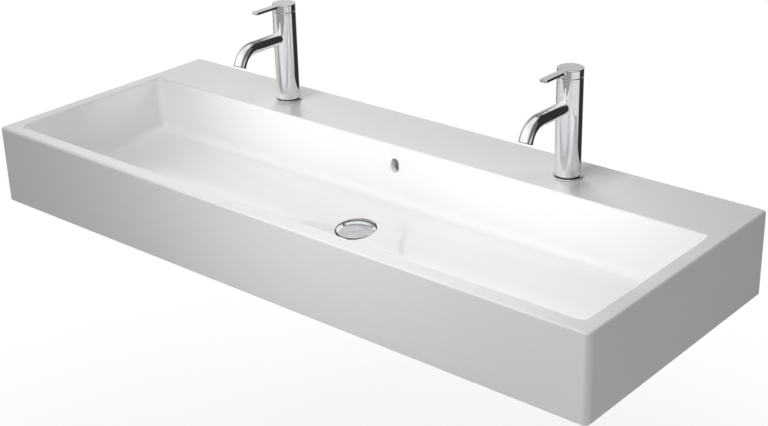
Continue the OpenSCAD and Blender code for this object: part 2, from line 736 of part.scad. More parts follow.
// Turning cap: hollow over the dome, with a socket for the stem. Its lower face slopes up
// at the back by the lever's full lift, so that it stays clear of the body as it tilts.
module handle_cap() color("silver") difference() {
    union() {
        difference() {
            rotate_extrude() polygon([
                [body_r - cap_wall, cap_low], [body_r, cap_low], [body_r, mixer_h - 0.5],
                [body_r - 0.5, mixer_h], [0, mixer_h], [0, mixer_h - cap_roof],
                [body_r - cap_wall - 2, mixer_h - cap_roof], [body_r - cap_wall, mixer_h - cap_roof - 2]
            ]);
            translate([-body_r - cut, relief_start, cap_low]) rotate([tilt_max, 0, 0])
                translate([0, 0, -body_r]) cube([2 * body_r + 2 * cut, 2 * body_r, body_r]);
        }
        translate([0, 0, cap_boss_low]) cylinder(r = cap_boss_r, h = mixer_h - 2 - cap_boss_low);
    }
    box(-stem_x / 2, stem_x / 2, -stem_w / 2, stem_w / 2, cap_boss_low - cut, stem_top);
    box(-lever_w / 2, lever_w / 2, -body_r - cut, -lever_root, mixer_h - lever_t, mixer_h + cut);
    translate([0, cut - stem_w / 2, screw_z]) rotate([90, 0, 0])
        cylinder(r = screw_r + run_gap, h = body_r);
}

// Flat lever with a rounded, undercut tip
module lever() color("silver") difference() {
    union() {
        box(-lever_w / 2, lever_w / 2, -lever_reach + 2, -lever_root, mixer_h - lever_t, mixer_h);
        box(-lever_w / 2 + 2, lever_w / 2 - 2, -lever_reach, -lever_root, mixer_h - lever_t, mixer_h);
        for (s = [-1, 1])
            translate([s * (lever_w / 2 - 2), -lever_reach + 2, mixer_h - lever_t])
                cylinder(r = 2, h = lever_t);
    }
    translate([-lever_w, -lever_reach, mixer_h - lever_t]) rotate([-20, 0, 0])
        translate([0, -10, -8]) cube([2 * lever_w, 14, 8]);
}

// Grub screw under the lever, from the stem to just inside the cap
module set_screw() color("gray")
    translate([0, -stem_w / 2 - 0.1, screw_z]) rotate([90, 0, 0]) difference() {
        cylinder(r = screw_r, h = body_r - stem_w / 2 - 1.5);
        translate([0, 0, body_r - stem_w / 2 - 4]) cylinder(r = 1.2, h = 4, $fn = 6);
    }

module stud() color("silver")
    translate([0, stud_back, -stud_below]) cylinder(d = stud_d, h = stud_below + stud_hole_top - 0.5);

// Horseshoe outline that clamps round the tap hole and leaves the hoses free
module horseshoe(r, z, t) difference() {
    translate([0, 0, z]) cylinder(r = r, h = t);
    box(-inlet_pitch / 2 - 7, inlet_pitch / 2 + 7, -plate_r - cut, inlet_y + 5, z - cut, z + t + cut);
    translate([0, stud_back, z - cut]) cylinder(r = stud_d / 2 + pass_gap, h = t + 2 * cut);
}

module deck_gasket() color("dimgray") horseshoe(plate_r - 0.5, -deck_t - gasket_t, gasket_t);

module clamp_plate() color("silver") horseshoe(plate_r, -deck_t - gasket_t - plate_t, plate_t);

module stud_nut() color("goldenrod")
    translate([0, stud_back, -deck_t - gasket_t - plate_t - nut_t]) difference() {
        cylinder(r = 7.2, h = nut_t, $fn = 6);
        translate([0, 0, -cut]) cylinder(r = stud_d / 2 + run_gap, h = nut_t + 2 * cut);
    }

basin();
waste_body();
flange_seal();
lower_seal();
waste_backnut();
waste_tailpiece();
push_guide();
push_stem();
push_spring();
push_cap();
push_cap_seal();
at_mixer(-1) mixer_body();  // left_body
at_mixer(-1) mixer_core();  // left_core
at_mixer(-1) base_ring();  // left_base_ring
at_mixer(-1) base_gasket();  // left_base_gasket
at_mixer(-1) spout();  // left_spout
at_mixer(-1) aerator_housing();  // left_aerator_housing
at_mixer(-1) aerator_screen();  // left_aerator_screen
at_mixer(-1) cartridge();  // left_cartridge
at_mixer(-1) cartridge_nut();  // left_cartridge_nut
at_mixer(-1) dome_cover();  // left_dome_cover
at_mixer(-1) swivel();  // left_swivel
at_mixer(-1) tilt_pin();  // left_tilt_pin
at_mixer(-1) stem();  // left_stem
at_mixer(-1) handle_cap();  // left_cap
at_mixer(-1) lever();  // left_lever
at_mixer(-1) set_screw();  // left_set_screw
at_mixer(-1) stud();  // left_stud
at_mixer(-1) deck_gasket();  // left_deck_gasket
at_mixer(-1) clamp_plate();  // left_clamp_plate
at_mixer(-1) stud_nut();  // left_stud_nut
at_mixer(1) mixer_body();  // right_body
at_mixer(1) mixer_core();  // right_core
at_mixer(1) base_ring();  // right_base_ring
at_mixer(1) base_gasket();  // right_base_gasket
at_mixer(1) spout();  // right_spout
at_mixer(1) aerator_housing();  // right_aerator_housing
at_mixer(1) aerator_screen();  // right_aerator_screen
at_mixer(1) cartridge();  // right_cartridge
at_mixer(1) cartridge_nut();  // right_cartridge_nut
at_mixer(1) dome_cover();  // right_dome_cover
at_mixer(1) swivel();  // right_swivel
at_mixer(1) tilt_pin();  // right_tilt_pin
at_mixer(1) stem();  // right_stem
at_mixer(1) handle_cap();  // right_cap
at_mixer(1) lever();  // right_lever
at_mixer(1) set_screw();  // right_set_screw
at_mixer(1) stud();  // right_stud
at_mixer(1) deck_gasket();  // right_deck_gasket
at_mixer(1) clamp_plate();  // right_clamp_plate
at_mixer(1) stud_nut();  // right_stud_nut
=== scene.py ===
"""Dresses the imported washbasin: ceramic, two mixers, the waste, finishes, light and camera.

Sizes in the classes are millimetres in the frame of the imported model: +X runs right along
the front, +Y points to the wall, +Z is up, and the origin is the middle of the wall bolts
on the back face of the basin. Meshes are made in metres in the same frame.
"""

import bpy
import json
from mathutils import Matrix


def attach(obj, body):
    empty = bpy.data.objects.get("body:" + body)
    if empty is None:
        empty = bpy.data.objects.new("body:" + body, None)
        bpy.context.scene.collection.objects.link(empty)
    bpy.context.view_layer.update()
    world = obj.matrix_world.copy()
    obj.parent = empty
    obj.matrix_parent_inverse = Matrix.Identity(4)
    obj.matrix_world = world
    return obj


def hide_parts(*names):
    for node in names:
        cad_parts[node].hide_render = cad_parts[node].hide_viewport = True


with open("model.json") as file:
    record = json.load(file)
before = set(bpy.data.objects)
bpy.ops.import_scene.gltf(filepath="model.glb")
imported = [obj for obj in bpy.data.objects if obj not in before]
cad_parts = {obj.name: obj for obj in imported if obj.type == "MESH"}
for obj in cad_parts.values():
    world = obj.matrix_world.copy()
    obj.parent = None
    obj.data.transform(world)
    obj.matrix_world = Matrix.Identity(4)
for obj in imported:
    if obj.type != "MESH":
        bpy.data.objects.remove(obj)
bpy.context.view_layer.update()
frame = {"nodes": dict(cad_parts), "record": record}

import json
import logging
import math
from dataclasses import dataclass
from enum import Enum

import bmesh
import bpy
from mathutils import Matrix, Vector

log = logging.getLogger("washbasin")
MM = 0.001  # metres in a millimetre
OVER = 1.0  # reach of a cutting tool past the face that it opens
FINE, ROUND, PLAIN = 192, 144, 96  # flats round a shown, a lesser and a small form
WHITE = (1.0, 1.0, 1.0, 1.0)

Pair = tuple[float, float]
Point = tuple[float, float, float]
Loop = list[Point]
Face = tuple[int, ...]
Piece = bpy.types.Object
Material = bpy.types.Material
Tree = bpy.types.NodeTree
Node = bpy.types.Node
Socket = bpy.types.NodeSocket
Value = float | tuple[float, ...] | Node | Socket


class Side(Enum):
    """The two mixers, each with the sign of its place along X."""

    LEFT = -1
    RIGHT = 1

    @property
    def word(self) -> str:
        """The side's name as the nodes spell it."""
        return self.name.lower()


class Slot(Enum):
    """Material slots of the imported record."""

    GLAZE = "glaze"
    CHROME = "chrome"
    BRASS = "brass"
    STEEL = "steel"
    RUBBER = "rubber"
    WHITE_PLASTIC = "white_plastic"


class Carving(Enum):
    """What a tool does to a piece, in the words of Blender's Boolean."""

    CUT = "DIFFERENCE"
    JOIN = "UNION"


def arc(centre: Pair, radius: float, start: float, end: float, steps: int) -> list[Pair]:
    """Points on an arc in a section, both ends included.

    Args:
        centre: Middle of the arc.
        radius: Its radius.
        start: First angle, in degrees.
        end: Last angle, in degrees.
        steps: Flats along the arc.

    Returns:
        The points in order.
    """
    angles = [math.radians(start + (end - start) * k / steps) for k in range(steps + 1)]
    return [(centre[0] + radius * math.cos(a), centre[1] + radius * math.sin(a)) for a in angles]


def low_edge(r: float, z: float, size: float, steps: int) -> list[Pair]:
    """Rounding of an outer lower edge, going out and up."""
    return arc((r - size, z + size), size, -90, 0, steps)


def top_edge(r: float, z: float, size: float, steps: int) -> list[Pair]:
    """Rounding of an outer upper edge, going up and in."""
    return arc((r - size, z - size), size, 0, 90, steps)


def band(inner: float, outer: float, low: float, high: float) -> list[Pair]:
    """Square section of a ring."""
    return [(inner, low), (outer, low), (outer, high), (inner, high)]


def quarter(radius: float, steps: int) -> list[Pair]:
    """What a quarter round has left to go one way, and has gone the other way, at each step."""
    angles = [math.radians(90 * k / steps) for k in range(steps + 1)]
    return [(radius * (1 - math.sin(a)), radius * (1 - math.cos(a))) for a in angles]


def turn(count: int) -> list[Pair]:
    """Cosine and sine of evenly spaced angles, once round."""
    angles = [2 * math.pi * k / count for k in range(count)]
    return [(math.cos(a), math.sin(a)) for a in angles]


class Shapes:
    """Mesh makers that the sub-assemblies share. They take millimetres."""

    @staticmethod
    def mesh_object(
        name: str, points: list[Point], faces: list[Face], edges: tuple[Face, ...] = ()
    ) -> Piece:
        """Make a linked object from points.

        Args:
            name: Name of the object and its mesh.
            points: Corners.
            faces: Corner numbers of each face.
            edges: Corner numbers of each loose edge.

        Returns:
            The new object, at the origin, its mesh in metres.
        """
        mesh = bpy.data.meshes.new(name)
        mesh.from_pydata([[c * MM for c in p] for p in points], edges, faces)
        piece = bpy.data.objects.new(name, mesh)
        bpy.context.scene.collection.objects.link(piece)
        return piece

    @staticmethod
    def loft(name: str, loops: list[Loop], ring: bool = False) -> Piece:
        """Skin a solid through loops that have one count of points.

        Args:
            name: Name of the piece.
            loops: The loops in order.
            ring: Whether the last loop joins the first. Otherwise a flat face closes both.

        Returns:
            The solid, its faces outward.
        """
        rows, count = len(loops), len(loops[0])
        faces: list[Face] = []
        if not ring:
            faces = [tuple(range(count))[::-1], tuple(range((rows - 1) * count, rows * count))]
        for row in range(rows if ring else rows - 1):
            low, high = row * count, (row + 1) % rows * count
            for i in range(count):
                j = (i + 1) % count
                faces.append((low + i, low + j, high + j, high + i))
        piece = Shapes.mesh_object(name, [p for loop in loops for p in loop], faces)
        Shapes.face_outwards(piece)
        return piece

    @staticmethod
    def lathe(name: str, profile: list[Pair], centre: Point, segments: int = ROUND) -> Piece:
        """Turn a closed profile about an upright axis.

        Args:
            name: Name of the piece.
            profile: Radius and height of each corner, going once round the section. A corner
                with no radius becomes one point on the axis.
            centre: Foot of the axis, to which the heights are added.
            segments: Flats round the axis.

        Returns:
            The turned solid, its faces outward.
        """
        x, y, foot = centre
        points: list[Point] = []
        rings: list[list[int]] = []
        for radius, height in profile:
            start, z = len(points), foot + height
            if radius == 0:
                points.append((x, y, z))
                rings.append([start] * segments)
            else:
                points += [(x + radius * c, y + radius * s, z) for c, s in turn(segments)]
                rings.append(list(range(start, start + segments)))
        faces: list[Face] = []
        for row, ring in enumerate(rings):
            above = rings[(row + 1) % len(rings)]
            if ring[0] == ring[1] and above[0] == above[1]:
                continue
            for k in range(segments):
                j = (k + 1) % segments
                faces.append(tuple(dict.fromkeys((ring[k], ring[j], above[j], above[k]))))
        piece = Shapes.mesh_object(name, points, faces)
        Shapes.face_outwards(piece)
        return piece

    @staticmethod
    def prism(name: str, outline: list[Pair], low: float, high: float) -> Piece:
        """Stand a flat outline up between two heights."""
        return Shapes.loft(name, [[(x, y, z) for x, y in outline] for z in (low, high)])

    @staticmethod
    def block(name: str, low: Point, high: Point) -> Piece:
        """A block between two corners."""
        (x0, y0, z0), (x1, y1, z1) = low, high
        return Shapes.prism(name, [(x0, y0), (x1, y0), (x1, y1), (x0, y1)], z0, z1)

    @staticmethod
    def rod(name: str, start: Point, end: Point, radius: float, segments: int = 72) -> Piece:
        """Make a round cutting rod between two points.

        Args:
            name: Name of the rod.
            start: Middle of one end.
            end: Middle of the other end.
            radius: Its radius.
            segments: Flats round it.

        Returns:
            The rod, its faces outward.
        """
        turned = (Vector(end) - Vector(start)).to_track_quat("Z", "Y").to_matrix()
        ring = [turned @ Vector((radius * c, radius * s, 0)) for c, s in turn(segments)]
        return Shapes.loft(name, [[tuple(Vector(at) + p) for p in ring] for at in (start, end)])

    @staticmethod
    def face_outwards(piece: Piece) -> None:
        """Merge doubled corners and turn every face of a closed piece outward.

        Args:
            piece: The piece that is changed.
        """
        cage = bmesh.new()
        cage.from_mesh(piece.data)
        bmesh.ops.remove_doubles(cage, verts=cage.verts, dist=1e-7)
        bmesh.ops.recalc_face_normals(cage, faces=cage.faces)
        cage.to_mesh(piece.data)
        cage.free()

    @staticmethod
    def settle(piece: Piece) -> None:
        """Make the result of a piece's modifiers its plain mesh.

        Args:
            piece: The piece that is changed.
        """
        solved = piece.evaluated_get(bpy.context.evaluated_depsgraph_get())
        mesh = bpy.data.meshes.new_from_object(solved)
        piece.modifiers.clear()
        old, piece.data = piece.data, mesh
        mesh.name = piece.name
        bpy.data.meshes.remove(old)

    @staticmethod
    def carve(piece: Piece, *tools: Piece, how: Carving = Carving.CUT) -> None:
        """Cut tools out of a piece one by one, or join them on, and remove them.

        Args:
            piece: The piece that is changed.
            *tools: Closed solids.
            how: Whether the tools are cut out or joined on.
        """
        for tool in tools:
            cut = piece.modifiers.new("carve", "BOOLEAN")
            cut.operation, cut.object, cut.solver = how.value, tool, "MANIFOLD"
            Shapes.settle(piece)
            bpy.data.objects.remove(tool)

    @staticmethod
    def soften(piece: Piece, width: float, angle: float, segments: int = 3) -> None:
        """Round every edge that is sharper than an angle.

        Args:
            piece: The piece that is changed.
            width: Width of the rounding.
            angle: Least angle of an edge that is rounded, in degrees.
            segments: Flats across the rounding.
        """
        bevel = piece.modifiers.new("soften", "BEVEL")
        bevel.width, bevel.segments = width * MM, segments
        bevel.limit_method, bevel.angle_limit = "ANGLE", math.radians(angle)
        Shapes.settle(piece)

    @staticmethod
    def shade(piece: Piece, angle: float) -> None:
        """Shade smooth up to an angle, with normals that follow the larger faces.

        Args:
            piece: The piece that is changed.
            angle: Least angle of an edge that stays sharp, in degrees.
        """
        piece.data.shade_smooth()
        piece.data.set_sharp_from_angle(angle=math.radians(angle))
        weighted = piece.modifiers.new("weighted", "WEIGHTED_NORMAL")
        weighted.keep_sharp, weighted.weight = True, 80
        Shapes.settle(piece)


class Wiring:
    """Adds nodes to a tree, each with its settings and inputs in one call.

    Attributes:
        tree: The tree.
        source: Input end of a node group.
        sink: Output end of a node group.
    """

    SOCKETS = {int: "NodeSocketInt", float: "NodeSocketFloat"}
    tree: Tree
    source: Node
    sink: Node

    def __init__(self, tree: Tree) -> None:
        """Take a tree and empty it."""
        self.tree = tree
        tree.nodes.clear()

    @classmethod
    def group(
        cls, name: str, kind: str, inputs: dict[str, float | str], outputs: dict[str, str]
    ) -> "Wiring":
        """Start a node group.

        Args:
            name: Name of the group.
            kind: Type of the tree.
            inputs: Value, or type of the socket, of each input.
            outputs: Type of the socket of each output.

        Returns:
            The wiring, with the group's two ends as source and sink.
        """
        wires = cls(bpy.data.node_groups.new(name, kind))
        for label, value in inputs.items():
            typed = value if isinstance(value, str) else cls.SOCKETS[type(value)]
            socket = wires.tree.interface.new_socket(label, in_out="INPUT", socket_type=typed)
            if typed is not value:
                socket.default_value = value
        for label, typed in outputs.items():
            wires.tree.interface.new_socket(label, in_out="OUTPUT", socket_type=typed)
        wires.source, wires.sink = wires.add("NodeGroupInput"), wires.add("NodeGroupOutput")
        return wires

    def add(
        self, kind: str, inputs: dict[str | int, Value] | None = None, **settings: object
    ) -> Node:
        """Add a node.

        Args:
            kind: Type of the node.
            inputs: What goes into its inputs, by their names or numbers.
            **settings: Its other properties.

        Returns:
            The node.
        """
        node = self.tree.nodes.new(kind)
        for key, setting in settings.items():
            setattr(node, key, setting)
        for key, value in (inputs or {}).items():
            self.put(node, key, value)
        return node

    def put(self, node: Node, key: str | int, value: Value) -> None:
        """Set an input, or link a socket or the first output of a node into it.

        Args:
            node: The node that has the input.
            key: Name or number of the input.
            value: A plain value, a socket or a node.
        """
        if isinstance(value, Node):
            value = value.outputs[0]
        if isinstance(value, Socket):
            self.tree.links.new(value, node.inputs[key])
        else:
            node.inputs[key].default_value = value

    def math(self, operation: str, *values: Value) -> Socket:
        """Result of a math node."""
        return self.add("ShaderNodeMath", dict(enumerate(values)), operation=operation).outputs[0]

    def step(self, value: Value, low: float, high: float) -> Socket:
        """Smooth step from 0 at low to 1 at high."""
        ends = {"Value": value, "From Min": low, "From Max": high}
        return self.add("ShaderNodeMapRange", ends, interpolation_type="SMOOTHSTEP").outputs[0]

    def lerp(self, low: Value, high: float, share: Value) -> Socket:
        """Mix of a value with a number."""
        return self.math("ADD", low, self.math("MULTIPLY", share, self.math("SUBTRACT", high, low)))


class SweptBar:
    """Geometry Nodes tree that sweeps a tube along a path of edges."""

    def __init__(self) -> None:
        """Build the tree once."""
        geometry = {"Geometry": "NodeSocketGeometry"}
        sizes = {"Radius": 0.011, "Bore": 0.0085, "Flats": PLAIN}
        given = {**geometry, **sizes, "Finish": "NodeSocketMaterial"}
        wires = Wiring.group("swept_bar", "GeometryNodeTree", given, geometry)
        self.tree, add, source = wires.tree, wires.add, wires.source.outputs
        path = add("GeometryNodeMeshToCurve", {"Mesh": source["Geometry"]})
        skins = []
        for name in ("Radius", "Bore"):
            sizes = {"Resolution": source["Flats"], "Radius": source[name]}
            ring = add("GeometryNodeCurvePrimitiveCircle", sizes)
            curves = {"Curve": path, "Profile Curve": ring, "Fill Caps": True}
            skins.append(add("GeometryNodeCurveToMesh", curves))
        join = add("GeometryNodeJoinGeometry", {"Geometry": skins[0]})
        wires.put(join, "Geometry", add("GeometryNodeFlipFaces", {"Mesh": skins[1]}))
        smooth = add("GeometryNodeSetShadeSmooth", {"Geometry": join})
        real = add("GeometryNodeRealizeInstances", {"Geometry": smooth})
        dressed = add("GeometryNodeSetMaterial", {"Geometry": real, "Material": source["Finish"]})
        wires.put(wires.sink, "Geometry", dressed)

    def sweep(
        self, name: str, path: list[Point], radius: float, bore: float, flats: int, finish: Material
    ) -> Piece:
        """Sweep a tube along a path.

        Args:
            name: Name of the piece.
            path: Points along the middle line, in millimetres.
            radius: Outside radius, in millimetres.
            bore: Inside radius, in millimetres.
            flats: Flats round the section.
            finish: Its material.

        Returns:
            A plain mesh object: an outer and an inner skin, each with flat ends.
        """
        edges = tuple((k, k + 1) for k in range(len(path) - 1))
        piece = Shapes.mesh_object(name, path, [], edges)
        modifier = piece.modifiers.new("swept_bar", "NODES")
        modifier.node_group = self.tree
        values = {"Radius": radius * MM, "Bore": bore * MM, "Flats": flats, "Finish": finish}
        for item in self.tree.interface.items_tree:
            if item.in_out == "INPUT" and item.name in values:
                modifier[item.identifier] = values[item.name]
        Shapes.settle(piece)
        return piece


class Effects:
    """Shader node groups that more than one finish uses."""

    NOISE = "ShaderNodeTexNoise"
    CLOUD_SPAN = (0.32, 0.68)

    def __init__(self) -> None:
        """Build the groups once."""
        self.variation = self._variation()
        self.texture = self._texture()

    @classmethod
    def _group(cls, name: str, inputs: dict[str, float], *outputs: str) -> Wiring:
        """Start a group that takes a Vector and numbers and gives numbers.

        Args:
            name: Name of the group.
            inputs: Value of each number that it takes.
            *outputs: Names of the numbers that it gives.

        Returns:
            The wiring of the group.
        """
        given = {"Vector": "NodeSocketVector", **inputs}
        numbers = dict.fromkeys(outputs, "NodeSocketFloat")
        return Wiring.group(name, "ShaderNodeTree", given, numbers)

    @classmethod
    def _variation(cls) -> Tree:
        """Build a slow cloudy change between two values, with the same clouds as a mask.

        Returns:
            The group.
        """
        sizes = {"Scale": 9.0, "Low": 0.0, "High": 1.0}
        wires = cls._group("cloudy_change", sizes, "Value", "Mask")
        source, (low, high) = wires.source.outputs, cls.CLOUD_SPAN
        noise = {"Vector": source["Vector"], "Scale": source["Scale"], "Detail": 3.0}
        clouds = wires.add(cls.NOISE, noise).outputs["Fac"]
        span = {"Value": clouds, "From Min": low, "From Max": high}
        mask = wires.add("ShaderNodeMapRange", span)
        span = {"Value": mask, "To Min": source["Low"], "To Max": source["High"]}
        wires.put(wires.sink, "Value", wires.add("ShaderNodeMapRange", span))
        wires.put(wires.sink, "Mask", mask)
        return wires.tree

    @classmethod
    def _texture(cls) -> Tree:
        """Build the height of a surface: slow ripples with fine grain on them.

        Returns:
            The group.
        """
        sizes = {"Ripple Scale": 60.0, "Ripple": 1.0, "Grain Scale": 900.0, "Grain": 0.1}
        wires = cls._group("surface_texture", sizes, "Height")
        source, parts = wires.source.outputs, []
        for name, detail in (("Ripple", 1.0), ("Grain", 3.0)):
            noise = {"Vector": source["Vector"], "Scale": source[f"{name} Scale"], "Detail": detail}
            waves = wires.add(cls.NOISE, noise).outputs["Fac"]
            parts.append(wires.math("MULTIPLY", waves, source[name]))
        wires.put(wires.sink, "Height", wires.math("ADD", *parts))
        return wires.tree


@dataclass(frozen=True)
class Finish:
    """A finish whose colour, roughness and relief change a little over the surface.

    Attributes:
        name: Name of the material.
        colour: Main colour, linear.
        shade: Second colour, in the clouds of the first.
        roughness: Least and most roughness.
        cloud_scale: Clouds per metre in colour and roughness.
        ripple: Scale and share of the slow ripples in the relief.
        grain: Scale and share of the fine grain in the relief.
        relief: Depth of the relief, in millimetres.
        stretch: Stretch of the relief along each axis.
        metallic: 1 for a metal.
        coat: Weight of a clear glossy layer on top.
        coat_roughness: Roughness of that layer.
        index: Index of refraction.
    """

    name: str
    colour: Point
    shade: Point
    roughness: Pair
    cloud_scale: float
    ripple: Pair
    grain: Pair
    relief: float
    stretch: Point = (1.0, 1.0, 1.0)
    metallic: float = 0.0
    coat: float = 0.0
    coat_roughness: float = 0.03
    index: float = 1.5

    def build(self, effects: Effects) -> Material:
        """Build the material.

        Args:
            effects: The shared node groups.

        Returns:
            The material.
        """
        material = bpy.data.materials.new(self.name)
        material.use_nodes = True
        wires = Wiring(material.node_tree)
        at = wires.add("ShaderNodeTexCoord").outputs["Object"]
        low, high = self.roughness
        sizes = {"Vector": at, "Scale": self.cloud_scale, "Low": low, "High": high}
        clouds = wires.add("ShaderNodeGroup", sizes, node_tree=effects.variation).outputs
        tint = wires.add("ShaderNodeMix", data_type="RGBA")
        wires.put(tint, "Factor", clouds["Mask"])
        ends = (s for s in tint.inputs if s.type == "RGBA")
        for socket, colour in zip(ends, (self.colour, self.shade)):
            socket.default_value = (*colour, 1)
        turned = wires.add("ShaderNodeMapping", {"Vector": at, "Scale": self.stretch})
        sizes = {"Vector": turned, "Ripple Scale": self.ripple[0], "Ripple": self.ripple[1],
                 "Grain Scale": self.grain[0], "Grain": self.grain[1]}
        surface = wires.add("ShaderNodeGroup", sizes, node_tree=effects.texture)
        bump = wires.add("ShaderNodeBump", {"Height": surface, "Distance": self.relief * MM})
        shader = wires.add("ShaderNodeBsdfPrincipled", {
            "Base Color": next(s for s in tint.outputs if s.type == "RGBA"),
            "Roughness": clouds["Value"], "Metallic": self.metallic, "IOR": self.index,
            "Coat Weight": self.coat, "Coat Roughness": self.coat_roughness, "Normal": bump,
        })
        wires.add("ShaderNodeOutputMaterial", {"Surface": shader})
        return material


FINISHES: dict[Slot, Finish] = {
    Slot.GLAZE: Finish(
        "sanitary_glaze", (0.812, 0.797, 0.813), (0.80, 0.785, 0.802), (0.05, 0.09), cloud_scale=5,
        ripple=(38, 1.0), grain=(420, 0.05), relief=0.045, coat=0.35, index=1.52,
    ),
    Slot.CHROME: Finish(
        "polished_chrome", (0.85, 0.855, 0.865), (0.825, 0.83, 0.84), (0.02, 0.045), cloud_scale=30,
        ripple=(25, 1.0), grain=(1500, 0.02), relief=0.001, metallic=1,
    ),
    Slot.BRASS: Finish(
        "machined_brass", (0.72, 0.56, 0.30), (0.62, 0.46, 0.23), (0.22, 0.38), cloud_scale=40,
        ripple=(120, 0.5), grain=(900, 0.6), relief=0.02, stretch=(1, 1, 6), metallic=1,
    ),
    Slot.STEEL: Finish(
        "brushed_steel", (0.61, 0.61, 0.625), (0.575, 0.575, 0.59), (0.20, 0.30), cloud_scale=45,
        ripple=(80, 0.3), grain=(700, 0.8), relief=0.005, stretch=(1, 8, 1), metallic=1,
    ),
    Slot.RUBBER: Finish(
        "black_rubber", (0.045, 0.045, 0.047), (0.06, 0.06, 0.06), (0.55, 0.72), cloud_scale=60,
        ripple=(150, 0.5), grain=(1600, 0.7), relief=0.05,
    ),
    Slot.WHITE_PLASTIC: Finish(
        "moulded_plastic", (0.82, 0.82, 0.80), (0.77, 0.77, 0.745), (0.32, 0.45), cloud_scale=50,
        ripple=(90, 0.6), grain=(1400, 0.35), relief=0.02, index=1.46,
    ),
}


class Palette:
    """The built materials, one for each slot of the record."""

    def __init__(self) -> None:
        """Build every finish."""
        effects = Effects()
        self.of_slot = {slot: finish.build(effects) for slot, finish in FINISHES.items()}

    def dress_nodes(self) -> None:
        """Give every carried-over node the finish that the record states for it."""
        stated = {part["node"]: part["material_slot"] for part in frame["record"]["subparts"]}
        for name, node in frame["nodes"].items():
            material = self.of_slot[Slot(stated[name])]
            if not node.material_slots:
                node.data.materials.append(material)
            for holder in node.material_slots:
                holder.material = material
            log.info("node %s: %s", name, material.name)

    def finish(self, piece: Piece, slot: Slot, body: str, *nodes: str, angle: float = 32) -> None:
        """Shade and dress a piece, let it ride on a body and stand for nodes, and report it.

        Args:
            piece: The piece, its shape ready.
            slot: Slot that it takes its finish from.
            body: Body that it moves with.
            *nodes: Nodes that it stands for.
            angle: Least angle of an edge that stays sharp, in degrees.
        """
        Shapes.shade(piece, angle)
        piece.data.materials.clear()
        piece.data.materials.append(self.of_slot[slot])
        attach(piece, body)
        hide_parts(*nodes)
        log.info("piece %s on %s: %d faces", piece.name, body, len(piece.data.polygons))


